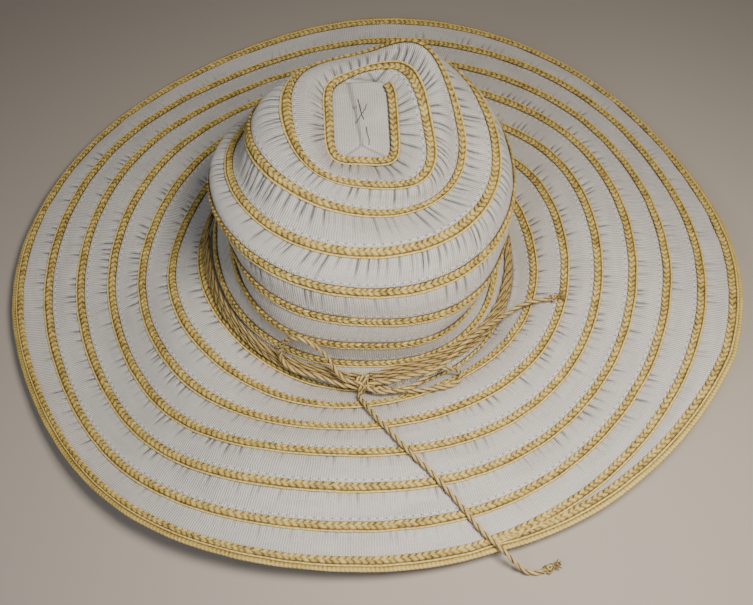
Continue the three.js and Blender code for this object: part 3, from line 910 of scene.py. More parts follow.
@dataclass
class SpiralRibbon:
    """The ribbon of the brim and of the crown, each one closed strip of cloth.

    The belly is how far the cloth stands up between its seams and the puff how far more where it is
    gathered, in mm. The gathered share is the flat ribbon's length for each length of the sewn one.
    """

    form: HatForm
    finish: bpy.types.Material
    gathers: Gathers = Gathers()
    belly: float = 0.55
    puff: float = 0.55
    step: float = 0.95
    rows: int = 9
    gathered: float = 1.1
    # how full the gathers are from turn to turn
    full_turns: tuple = (-7.0, -6.0, -4.0, -1.0, 0.0, 2.2, 3.2, 5.0, 8.0)
    full_levels: tuple = (0.45, 0.8, 1.05, 1.2, 0.15, 0.3, 1.0, 1.3, 1.1)
    tucks: tuple = (
        Tuck((13.5, 37.9), (27.8, 48.9), 1.1, 0.7),
        Tuck((13.0, 38.5), (10.5, 42.5), 0.9, 0.6),
        Tuck((-10.0, 43.0), (12.0, 38.6), 0.7, 0.8),
    )

    def edges(self, turn: int, side: Side, share: np.ndarray) -> tuple[np.ndarray, np.ndarray]:
        """Places of the ribbon's outer and inner edge on one turn, cut off at the crown's foot.

        Args:
            turn: the number of the seam's turn on the outer edge.
            side: the part of the cloth that they are on.
            share: shares of the turn, 0 to 1.

        Returns:
            Two arrays of places in ribbons, the outer edge's first.
        """
        form = self.form
        low = form.seam_line(turn, share)
        high = form.seam_line(turn + 1, share)
        if side is Side.CROWN:
            return np.maximum(low, 0.0), np.maximum(high, 0.0)
        foot = -form.layer / form.pitch
        return np.minimum(low, foot), np.minimum(high, foot)

    def middle(self, turn: int, side: Side, share: np.ndarray) -> np.ndarray:
        """Place of the line halfway between the ribbon's edges."""
        return sum(self.edges(turn, side, share)) / 2.0

    def columns(self, side: Side) -> tuple[np.ndarray, ...]:
        """Turn, share, both edges and both whole seams of every column, a step apart along the ribbon.

        Args:
            side: the part of the cloth that the ribbon is on.

        Returns:
            Those six arrays, all of one length.
        """
        form = self.form
        on_brim = side is Side.BRIM
        first, last = (-form.brim_turns, -1) if on_brim else (-1, form.crown_turns - 1)
        first_start, last_end = (0.004, 0.94) if on_brim else (0.015, 0.545)
        found = []
        for turn in range(first, last + 1):
            start = first_start if turn == first else 0.0
            end = last_end if turn == last else 1.0
            share = even_shares(form, partial(self.middle, turn, side), side, start, end, self.step)
            share = share if turn == last else share[:-1]
            seams = (form.seam_line(turn, share), form.seam_line(turn + 1, share))
            found.append((np.full_like(share, turn), share, *self.edges(turn, side, share), *seams))
        return tuple(np.concatenate(part) for part in zip(*found))

    def fullness(self, turns: np.ndarray, angle: np.ndarray, along: np.ndarray) -> np.ndarray:
        """How full the gathers are, 0 to 1.3.

        A level read from a table by turn, times soft waves along the ribbon, and on the brim times a
        wave round the hat that is fullest at its left and right.

        Args:
            turns: places along the spiral, in turns.
            angle: angles round the hat in radians, one for each place.
            along: lengths along the ribbon in mm.

        Returns:
            One level for each place.
        """
        level = np.interp(turns, self.full_turns, self.full_levels)
        patchy = np.clip(0.75 + 0.7 * smooth_noise(along / 55.0, 77, 2), 0.2, 1.35)
        sides = 0.5 + 0.5 * np.cos(2.0 * (angle - math.radians(187.0)))
        front = np.exp(-(((np.mod(angle, TURN) - math.radians(270.0)) / 0.45) ** 2))
        around = np.where(turns < 0, 0.45 + 0.6 * sides, 1.0 - 0.5 * front)
        return np.clip(level * patchy * around, 0.0, 1.3)

    def strip(self, side: Side) -> tuple[np.ndarray, dict[str, np.ndarray]]:
        """Rings and attributes of one part's cloth.

        Across the ribbon the place runs from the outer seam to the inner one. The top stands off the
        middle by half the cloth, a belly of 4v(1-v) and soft waves, less the gathers and tucks, and the
        underside follows it one thickness below.

        Args:
            side: the part of the cloth that the ribbon is on.

        Returns:
            The rings in mm, with the weave of each point, and its crease_shade and fold for the painted
            shade in tucks and gathers.
        """
        form = self.form
        turn, share, low, high, outer_seam, inner_seam = self.columns(side)
        angle = form.angle_at(share)
        v = np.linspace(0.0, 1.0, self.rows)
        place = low[:, None] + (high - low)[:, None] * v
        angles = np.broadcast_to(angle[:, None], place.shape)
        facing = form.normal(place, angles, side)
        cloth = form.on_cloth(place, angles, side)
        along = run_along(cloth[:, self.rows // 2])
        wide = (high - low)[:, None] * form.pitch
        whole = np.clip(wide / form.pitch, 0.0, 1.0)
        across = (inner_seam[:, None] - place) * form.pitch
        inset = (place - outer_seam[:, None]) * form.pitch
        turns = turn + share
        full = self.fullness(turns, angle, along) * smooth(whole[:, 0] * 1.5 - 0.5)
        depth, fold = self.gathers.pleats(along, across, full, side)
        crease_shade = np.zeros_like(depth)
        cover = smooth(np.minimum(across, inset) / 3.0)
        puff = self.puff * full[:, None] * cover * (1.0 - smooth((across - 6.0) / 10.0))
        waves = 0.5 * smooth_noise(along / 15.0, 91, 3)[:, None] * cover
        rise = self.belly * 4.0 * v * (1.0 - v) * whole + waves + puff - depth
        if side is Side.CROWN:
            folded = sum(tuck.groove(cloth) for tuck in self.tucks) * (place > 6.5)
            rise = rise - folded
            # painted shade in the tucks' grooves
            crease_shade = np.clip(folded * 0.9, 0.0, 1.0)
        top = cloth + facing * (form.cloth / 2.0 + rise)[..., None]
        under = cloth + facing * np.maximum(rise - form.cloth / 2.0, -form.cloth)[..., None]
        back = [self.rows - 1, self.rows * 2 // 3, self.rows // 3, 0]
        rings = np.concatenate([top, under[:, back]], axis=1)
        rings[..., 2] = np.maximum(rings[..., 2], 0.02)
        weave = np.stack([np.broadcast_to(along[:, None], place.shape), across, inset], axis=-1)
        weave = np.concatenate([weave, weave[:, back]], axis=1)
        crease_shade = np.concatenate([crease_shade, np.zeros((len(along), len(back)))], axis=1)
        fold = np.concatenate([fold, np.zeros((len(along), len(back), 3))], axis=1)
        return rings, {"weave": weave, "crease_shade": crease_shade, "fold": fold}

    def build(self, side: Side, name: str, *replaced: str) -> bpy.types.Object:
        """One part's cloth as one piece, in the place of its CAD ribbon.

        Args:
            side: the part of the cloth that the ribbon is on.
            name: the new piece's name.
            replaced: the CAD nodes in whose place it is.

        Returns:
            The piece.
        """
        rings, facts = self.strip(side)
        piece = loft(name, rings[:, ::-1], {label: value[:, ::-1] for label, value in facts.items()})
        dress(piece, self.finish, "ribbon", *replaced)
        return piece


@dataclass
class CrownPatch:
    """The small patch in the crown's top, two ribbon ends that meet in a fold, with mitred corners."""

    form: HatForm
    finish: bpy.types.Material
    thread: bpy.types.Material
    rounds: int = 60
    columns: int = 220
    # places seen from above, in mm from the patch's centre
    fold: tuple = (Tuck((-5.6, 26.0), (-3.1, 10.2), 0.6, 1.3), Tuck((-3.1, 10.2), (-0.4, -13.5), 0.7, 0.8))
    mitres: tuple = (
        Tuck((-0.5, -14.0), (-12.5, -24.8), 0.55, 0.55),
        Tuck((-0.5, -14.0), (18.2, -24.2), 0.7, 0.5),
    )
    stray_threads: tuple = (
        ((3.6, 10.6), (2.4, 7.4), (0.2, 3.8), (-1.7, 0.6), (-3.2, -1.6)),
        ((2.6, -3.4), (2.9, -7.6), (3.7, -10.8), (3.5, -14.2)),
        ((-0.8, 14.0), (-0.1, 10.0), (0.4, 5.5), (1.6, 1.0)),
    )

    def relief(self, local: np.ndarray) -> tuple[np.ndarray, np.ndarray]:
        """Height in mm and painted shade: grooves on the fold and mitres, a rolled lip beside the fold.

        Args:
            local: places from the patch's centre in mm, (..., 3).

        Returns:
            The height, and the painted shade in the grooves from 0 to 0.8.
        """
        grooves = sum(tuck.groove(local) for tuck in (*self.fold, *self.mitres))
        beside = np.minimum(*(tuck.distance(local + np.array([1.5, 0.0, 0.0])) for tuck in self.fold))
        lip = 0.3 * np.exp(-((beside / 1.4) ** 2))
        flap = 0.45 * smooth((-14.0 - local[..., 1] - np.abs(local[..., 0]) * 0.62) / 2.0)
        soft = 0.25 * np.sin(local[..., 0] * 0.33 + 0.6) * np.cos(local[..., 1] * 0.16)
        return lip + flap + soft - grooves, np.clip(grooves * 0.8, 0.0, 0.8)

    def build(self) -> list[bpy.types.Object]:
        """A disc of rings from the rim to the centre, top and underside, and the stray threads on it.

        Returns:
            The patch, then its threads.
        """
        form = self.form
        centre = form.section_centre(form.crown_rows[-1])
        upright = form.crown_rows[-1].upright
        angle = np.arange(self.columns) / self.columns * TURN
        rim = form.crown_point(np.full(self.columns, len(form.crown_rows) - 1.0), angle) - centre
        size = np.linalg.norm(rim, axis=-1, keepdims=True)
        rim = rim * (size - form.layer / 2.0) / size
        share = np.linspace(1.0, 0.004, self.rounds)
        inner_shares = np.array([0.004, 0.5, 1.0])
        local = rim[None] * share[:, None, None]
        # dark is the painted shade in the fold's and mitres' grooves
        height, dark = self.relief(local)
        top = centre + local + upright * (form.cloth / 2.0 + height)[..., None]
        under = centre + rim[None] * inner_shares[:, None, None] - upright * (form.cloth / 2.0)
        rings = np.concatenate([under, top])
        weave = np.stack([local[..., 0], local[..., 1] + 60.0, np.full_like(height, 9.0)], axis=-1)
        weave = np.concatenate([np.full((3, self.columns, 3), 60.0), weave])
        crease_shade = np.concatenate([np.zeros((3, self.columns)), dark])
        fold = np.zeros((*crease_shade.shape, 3))
        patch = loft("crown_patch_cloth", rings, {"weave": weave, "crease_shade": crease_shade, "fold": fold})
        dress(patch, self.finish, "ribbon", "crown_patch")
        return [patch, *self.threads(centre, upright)]

    def threads(self, centre: np.ndarray, upright: np.ndarray) -> list[bpy.types.Object]:
        """The stray threads, each a thin tube that lies on the patch.

        Args:
            centre: the patch's centre in mm.
            upright: the unit vector square to it.

        Returns:
            The threads.
        """
        made = []
        for spot, route in enumerate(self.stray_threads):
            flat = catmull_rom(np.array([(*p, 0.0) for p in route]), 8)
            slope = -(flat[:, 0] * upright[0] + flat[:, 1] * upright[1]) / upright[2]
            local = np.stack([flat[:, 0], flat[:, 1], slope], axis=-1)
            height, _ = self.relief(local)
            path = centre + local + upright * (self.form.cloth / 2.0 + height + 0.25)[:, None]
            rings, facts = TwistedCord(diameter=0.55, twist=2.5, sides=6).rings(path, 60 + spot)
            made.append(dress(loft(f"stray_thread_{spot + 1}", rings, facts), self.thread, "ribbon"))
        return made


# the straw braid


# across the braid in mm, from its outer side in: first the rim's six columns, then the lobes'
BRAID_PLACES = np.array(
    [-2.6, -2.7, -2.45, -2.05, -1.65, -1.35, -0.85, -0.35, 0.15, 0.6, 1.05, 1.6, 2.15, 2.6]
)
RIM_HEIGHTS = np.array([0.0, 0.6, 1.1, 1.15, 0.7, 0.25])
# the rim's tone: painted shade at its sides, painted light on its top
RIM_SHADING = np.array([0.0, 0.4, 0.8, 0.78, 0.35, 0.08])


@dataclass
class StrawBraid:
    """The plaited straw on the seam, one closed strip a turn, with a smooth rim on its outer side.

    A lobe is the length of one crossing of the plait and the slant is how far it leans, in mm along for
    each mm across.
    """

    form: HatForm
    finish: bpy.types.Material
    step: float = 0.6
    lobe: float = 3.4
    slant: float = 0.85
    patch_share: float = 13.0 / 36.0

    def plait(self, run: np.ndarray, seed: int) -> tuple[np.ndarray, np.ndarray, np.ndarray]:
        """Places across, heights and painted light and shade of the braid.

        Two rows of lobes meet in the middle as chevrons, |sin(pi (s + slant w) / lobe)|^0.5 in the outer
        row and with the slant turned round, half a lobe on, in the inner one, each under its own round
        cross section. Painted shade darkens the pits between the lobes, in the middle and on the outer
        side, and painted light makes the lobes' tops paler, with a random share for each lobe. The smooth
        rim runs beside them, with a groove between, painted shade at its sides and painted light on top.

        Args:
            run: lengths along the braid in mm, (n,).
            seed: starts the braid's own small irregularities.

        Returns:
            Three arrays, (n, 14): mm across from the seam, mm over the layer below, and shading_and_tone,
                painted light and shade with a random share.
        """
        w = BRAID_PLACES
        rim = len(RIM_HEIGHTS)
        s = (run + 1.3 * smooth_noise(run / 9.0, seed, 2))[:, None]
        outer = (s + self.slant * w) / self.lobe
        inner = (s - self.slant * w) / self.lobe + 0.5
        values = np.random.default_rng(seed + 5).uniform(-1.0, 1.0, (2, 4096))
        height = np.zeros((len(run), len(w)))
        shading_and_tone = np.zeros_like(height)
        for row, (phase, middle, half) in enumerate(((outer, -0.35, 1.15), (inner, 1.6, 1.2))):
            dome = np.sqrt(np.clip(1.0 - ((w - middle) / half) ** 2, 0.0, 1.0))
            gap = np.abs(np.sin(math.pi * phase))
            own = values[row][np.floor(phase).astype(int) % 4096]
            lobe = dome * gap**0.5 * (1.0 + 0.16 * own)
            taller = lobe > height
            height = np.where(taller, lobe, height)
            # painted shade in the pits, and painted light on the lobes' domes
            pit_shade = np.exp(-((gap / 0.42) ** 2)) * (0.55 + 0.45 * np.abs(w - middle) / half)
            shade = (0.2 + 0.36 * gap**0.7 * (0.5 + 0.5 * dome) + 0.13 * own) * (1.0 - 0.9 * pit_shade)
            shading_and_tone = np.where(taller, shade, shading_and_tone)
        height = 0.25 + 1.25 * height
        twist = 0.5 + 0.5 * np.sin(TURN * s / 3.1 + 1.4 * w[:rim])
        height[:, :rim] = RIM_HEIGHTS * (0.85 + 0.15 * twist)
        shading_and_tone[:, :rim] = RIM_SHADING * (0.72 + 0.28 * twist)
        height *= 1.0 + 0.1 * smooth_noise(run / 5.0, seed + 2, 2)[:, None]
        height[:, [0, -1]] = 0.0
        # painted shade along the inner edge
        shading_and_tone[:, -1] = 0.05
        across = np.broadcast_to(w, height.shape).copy()
        scallop = 0.4 * (np.abs(np.sin(math.pi * inner[:, -1])) ** 0.5 - 0.7)
        across[:, -3:] += scallop[:, None] * np.array([0.5, 0.9, 1.0])
        across += 0.22 * smooth_noise(run / 11.0, seed + 4, 2)[:, None]
        return across, height, shading_and_tone

    def edge_reach(self, angle: np.ndarray) -> np.ndarray:
        """How far the edge's rows reach out, 1 at the hat's front right and 0 at its back left."""
        return smooth(0.2 + 0.8 * np.cos(angle + math.radians(42.0)))

    def turn(self, name: str, replaced: str, turn: int, side: Side, end: float = 1.0) -> bpy.types.Object:
        """One turn of the braid, laid on the layer of cloth below it.

        Args:
            name: the new piece's name.
            replaced: the CAD node in whose place it is.
            turn: the turn's number, below 0 on the brim.
            side: the part of the cloth that it is on.
            end: the share of the turn at which it ends.

        Returns:
            The piece.
        """
        form = self.form
        line = partial(form.braid_line, turn)
        share = even_shares(form, line, side, 0.0, end, self.step)
        angle = form.angle_at(share)
        middle = form.on_cloth(line(share), angle, side)
        run = run_along(middle)
        across, height, shading_and_tone = self.plait(run, 300 + 7 * turn)
        if turn == -form.brim_turns:
            reach = self.edge_reach(angle)[:, None]
            across = across * (0.8 + 0.25 * reach) - 0.1 - 0.5 * reach
        place = line(share)[:, None] + across / form.pitch
        if side is Side.BRIM:
            place = np.minimum(place, -0.2 * form.layer / form.pitch)
        else:
            place = np.maximum(place, 0.0)
        angles = np.broadcast_to(angle[:, None], place.shape)
        rings = form.off_cloth(place, angles, form.layer + 0.02 + height, side)
        if turn >= form.crown_turns - 1:
            flat = smooth((share - 0.47) / 0.08) if turn < form.crown_turns else np.ones_like(share)
            rings += (self.on_patch(middle, across, height) - rings) * flat[:, None, None]
        weave = np.stack([np.broadcast_to(run[:, None], place.shape), across + 31.0 * turn, height], axis=-1)
        return dress(loft(name, rings, {"weave": weave, "shading_and_tone": shading_and_tone}), self.finish, "braid", replaced)

    def on_patch(self, middle: np.ndarray, across: np.ndarray, height: np.ndarray) -> np.ndarray:
        """The braid's rings where it lies flat round the patch, in the patch's own plane.

        Args:
            middle: the braid's middle in mm, (n, 3).
            across: mm across from the middle, (n, k).
            height: mm over the layer below, (n, k).

        Returns:
            The rings in mm, (n, k, 3).
        """
        form = self.form
        upright = form.crown_rows[-1].upright
        ahead = unit(np.gradient(middle, axis=0))
        inward = unit(np.cross(upright, ahead))
        lifted = upright * (form.layer + 1.3 + height)[..., None]
        return middle[:, None] + inward[:, None] * (across + 0.7)[..., None] + lifted

    def binding(self) -> bpy.types.Object:
        """The folded row under the brim's edge.

        Its section is an oval outside the ribbon's edge, with slanted lobes, paler above as painted light
        and darker between the lobes as painted shade, kept on the surface where the edge meets it.

        Returns:
            The piece.
        """
        form = self.form
        line = partial(form.seam_line, -form.brim_turns)
        share = even_shares(form, line, Side.BRIM, 0.0, 1.0, 0.7)
        angle = form.angle_at(share)
        run = run_along(form.on_cloth(line(share), angle, Side.BRIM))
        sides = 12
        around = np.arange(sides) / sides * TURN
        lobes = np.abs(np.sin(math.pi * (run[:, None] / (0.6 * self.lobe) + 0.35 * np.sin(around)))) ** 0.7
        swell = 1.0 - 0.16 * (1.0 - lobes) + 0.05 * smooth_noise(run / 7.0, 17, 2)[:, None]
        middle = 0.2 + 1.5 * self.edge_reach(angle)[:, None]
        out = middle + 1.45 * np.cos(around) * swell + 0.2 * smooth_noise(run / 13.0, 23, 2)[:, None]
        rise = np.sin(around) * swell
        place = line(share)[:, None] - out / form.pitch
        angles = np.broadcast_to(angle[:, None], place.shape)
        rings = form.off_cloth(place, angles, rise, Side.BRIM)
        rings[..., 2] = np.maximum(rings[..., 2], 0.03)
        # painted shade between the lobes, and painted light on the top and outer side
        shading_and_tone = 0.14 + 0.34 * lobes + 0.2 * smooth(np.sin(around) * 1.6 - 0.1) * smooth(out / 2.0 - 0.4)
        weave = np.stack([np.broadcast_to(run[:, None], place.shape), out + 77.0, rise], axis=-1)
        piece = loft("edge_binding_straw", rings[:, ::-1], {"weave": weave[:, ::-1], "shading_and_tone": shading_and_tone[:, ::-1]})
        return dress(piece, self.finish, "braid", "edge_binding")

    def build(self) -> list[bpy.types.Object]:
        """Every turn of the braid, from the crown's foot up, and from the brim's edge in.

        Returns:
            All the pieces.
        """
        up, out = self.form.crown_turns, self.form.brim_turns
        made = [self.turn(f"crown_straw_{n + 1}", f"crown_braid_{n + 1}", n, Side.CROWN) for n in range(up)]
        made.append(self.turn("patch_straw", "patch_braid", up, Side.CROWN, self.patch_share))
        made.append(self.turn("edge_straw", "edge_braid", -out, Side.BRIM))
        made += [self.turn(f"brim_straw_{n}", f"brim_braid_{n}", n - out, Side.BRIM) for n in range(1, out)]
        made.append(self.binding())
        return made


# the loose cord and the band


@dataclass(frozen=True)
class TwistedCord:
    """A cord of two twisted plies, a tube of rings along a line of points. Lengths in mm."""

    diameter: float = 2.6
    twist: float = 11.0
    sides: int = 14
    step: float = 0.75

    def smooth_path(self, route: np.ndarray) -> np.ndarray:
        """A centripetal Catmull-Rom curve through the route, resampled evenly."""
        path = catmull_rom(route, 24)
        return resampled(path, int(round(run_along(path)[-1] / self.step)) + 1)

    def frames(self, path: np.ndarray) -> tuple[np.ndarray, np.ndarray]:
        """Two directions across the path at each point, turned as little as can be from ring to ring.

        Args:
            path: the cord's middle, (n, 3).

        Returns:
            Two arrays of unit vectors, square to the path and to each other.
        """
        ahead = unit(np.gradient(path, axis=0))
        across = np.zeros_like(path)
        seed = np.array([0.0, 0.0, 1.0]) if abs(ahead[0, 2]) < 0.9 else np.array([1.0, 0.0, 0.0])
        across[0] = unit(np.cross(ahead[0], seed))
        for i in range(1, len(path)):
            across[i] = unit(across[i - 1] - ahead[i] * np.dot(across[i - 1], ahead[i]))
        return across, np.cross(ahead, across)

    def rings(self, path: np.ndarray, seed: int) -> tuple[np.ndarray, dict[str, np.ndarray]]:
        """Rings and attributes of the tube.

        The outline is the edge of two circles side by side, a|cos p| + sqrt(b^2 - a^2 sin^2 p), turned
        along the path by the twist.

        Args:
            path: the cord's middle, (n, 3) in mm.
            seed: starts the cord's own small irregularities.

        Returns:
            The rings in mm, (n, sides, 3), with the weave and shading_and_tone of each point, painted shade
            in the ply valleys.
        """
        run = run_along(path)
        first, second = self.frames(path)
        radius = self.diameter / 2.0
        offset, ply = 0.38 * radius, 0.62 * radius
        angle = np.arange(self.sides) / self.sides * TURN
        outline = offset * np.abs(np.cos(angle)) + np.sqrt(ply**2 - (offset * np.sin(angle)) ** 2)
        wander = 0.5 * smooth_noise(run / 20.0, seed + 3, 2)
        turn = (run / self.twist * TURN + wander)[:, None] + angle[None, :]
        fat = 1.0 + 0.06 * smooth_noise(run / 6.0, seed + 9, 2)
        scale = outline[None, :] * fat[:, None]
        rings = (path[:, None] + first[:, None] * (np.cos(turn) * scale)[..., None]
                 + second[:, None] * (np.sin(turn) * scale)[..., None])
        # painted shade in the valley between the two plies, paler on their crowns
        valley = smooth((outline - outline.min()) / (outline.max() - outline.min()) / 0.55)
        shading_and_tone = np.broadcast_to(0.12 + 0.48 * valley[None, :], turn.shape)
        places = (run[:, None], 2.0 * np.cos(angle)[None, :] + seed * 5.1, 2.0 * np.sin(angle)[None, :])
        weave = np.stack([np.broadcast_to(place, turn.shape) for place in places], axis=-1)
        return rings, {"weave": weave, "shading_and_tone": shading_and_tone}


def catmull_rom(route: np.ndarray, steps: int) -> np.ndarray:
    """A centripetal Catmull-Rom curve: cubic pieces between uneven knots.

    Args:
        route: the chosen points, (n, 3).
        steps: points from each chosen one to the next.

    Returns:
        The curve's points, (m, 3).
    """
    route = np.asarray(route, dtype=float)
    ends = [2 * route[0] - route[1], *route, 2 * route[-1] - route[-2]]
    out = []
    for p0, p1, p2, p3 in zip(ends[:-3], ends[1:-2], ends[2:-1], ends[3:]):
        d0, d1, d2 = (max(np.linalg.norm(b - a) ** 0.5, 1e-4) for a, b in ((p0, p1), (p1, p2), (p2, p3)))
        m1 = ((p1 - p0) / d0 - (p2 - p0) / (d0 + d1) + (p2 - p1) / d1) * d1
        m2 = ((p2 - p1) / d1 - (p3 - p1) / (d1 + d2) + (p3 - p2) / d2) * d1
        t = np.linspace(0.0, 1.0, steps, endpoint=False)[:, None]
        a = 2 * p1 - 2 * p2 + m1 + m2
        b = -3 * p1 + 3 * p2 - 2 * m1 - m2
        out.append(a * t**3 + b * t**2 + m1 * t + p1)
    out.append(route[-1:])
    return np.concatenate(out)


class FarEnd(Enum):
    """What the far end of a loose cord is."""

    OBJECT = "object"
    KNOT = "knot"


@dataclass(frozen=True)
class LooseCord:
    """One free stretch of the cord: its node, its route in mm and what is on its far end."""

    node: str
    route: tuple
    far_end: FarEnd
    knot: str | None = None


LOOSE_CORDS = (
    LooseCord("bow_loop_left", (
        (-8.2, -99.9, 20.4), (-12.5, -99.2, 22.2), (-16, -97.5, 26.3), (-19.2, -94.6, 31.4),
        (-21.8, -93.4, 37.1), (-25, -93.4, 42.6), (-28.7, -93.2, 47.4), (-32.4, -92.2, 49.8),
        (-36.5, -90.4, 49.2), (-40.7, -87.6, 44.7), (-44, -85, 37), (-46, -84, 29.7),
        (-45.1, -85.4, 23.6), (-41.1, -88.3, 20.8), (-36.4, -90.6, 19.8), (-31.1, -92.6, 19.7),
        (-24.7, -95.4, 20), (-17.9, -98.2, 18.9), (-13, -99.5, 17.4), (-8.2, -99.9, 16.4),
    ), FarEnd.OBJECT),
    LooseCord("bow_loop_right", (
        (4.4, -99.9, 19), (9.9, -99.6, 18.4), (16.3, -97.6, 17.4), (24.4, -95.1, 17), (31.4, -93, 16.7),
        (38, -91, 15.6), (44.3, -92.1, 15.9), (48.1, -96.4, 18.7), (48.1, -101.1, 19.8),
        (44.6, -104.8, 20.1), (39.3, -106.5, 20.3), (31.4, -106.9, 20), (23.5, -107.1, 19.4),
        (15.8, -104.6, 17), (10.3, -101.9, 15.2), (4.4, -99.9, 14.6),
    ), FarEnd.OBJECT),
    LooseCord("tail_upper", (
        (1.2, -102.9, 17), (5.5, -105.4, 18), (12, -106, 19), (18.5, -107.2, 21.6), (24, -104.6, 21.2),
        (28.4, -100.2, 19.8), (33, -96.6, 19.6), (38.2, -92.4, 19.2), (41.3, -89.8, 19.2),
        (44.8, -86.5, 19.6), (49.5, -82, 20.5), (53.6, -78.4, 21.2), (58.3, -74.1, 20.4),
        (62.8, -69.2, 18.4), (67.8, -64.1, 16), (74.2, -57.4, 12.6), (79.6, -52.4, 10.6),
        (84.8, -49.4, 11.6), (92, -48.3, 14.1), (97.5, -48.1, 15.1), (102.2, -48, 15.5),
    ), FarEnd.KNOT, "tail_upper_knot"),
    LooseCord("tail_lower", (
        (-5.2, -102.6, 14.2), (-5.3, -106.9, 17.6), (-3.3, -113.8, 21), (-0.4, -120.1, 23.6),
        (3.4, -127.4, 25.8), (8.1, -134.8, 27.4), (13.6, -143.6, 28.4), (20.4, -152.4, 27.8),
        (27.2, -159.6, 25.7), (32.5, -165.9, 23.3), (37.8, -171.9, 20.7), (41.7, -177, 18.5),
        (45.1, -181.8, 16.8), (48.9, -187.1, 15.2), (53.3, -191.9, 14.2), (57.5, -196.3, 13.2),
        (61.8, -200.4, 10.4), (65.6, -203, 6.2), (69.4, -204.6, 3), (73.5, -205, 1.6),
        (77.6, -204.4, 1.4),
    ), FarEnd.KNOT, "tail_lower_knot"),
)


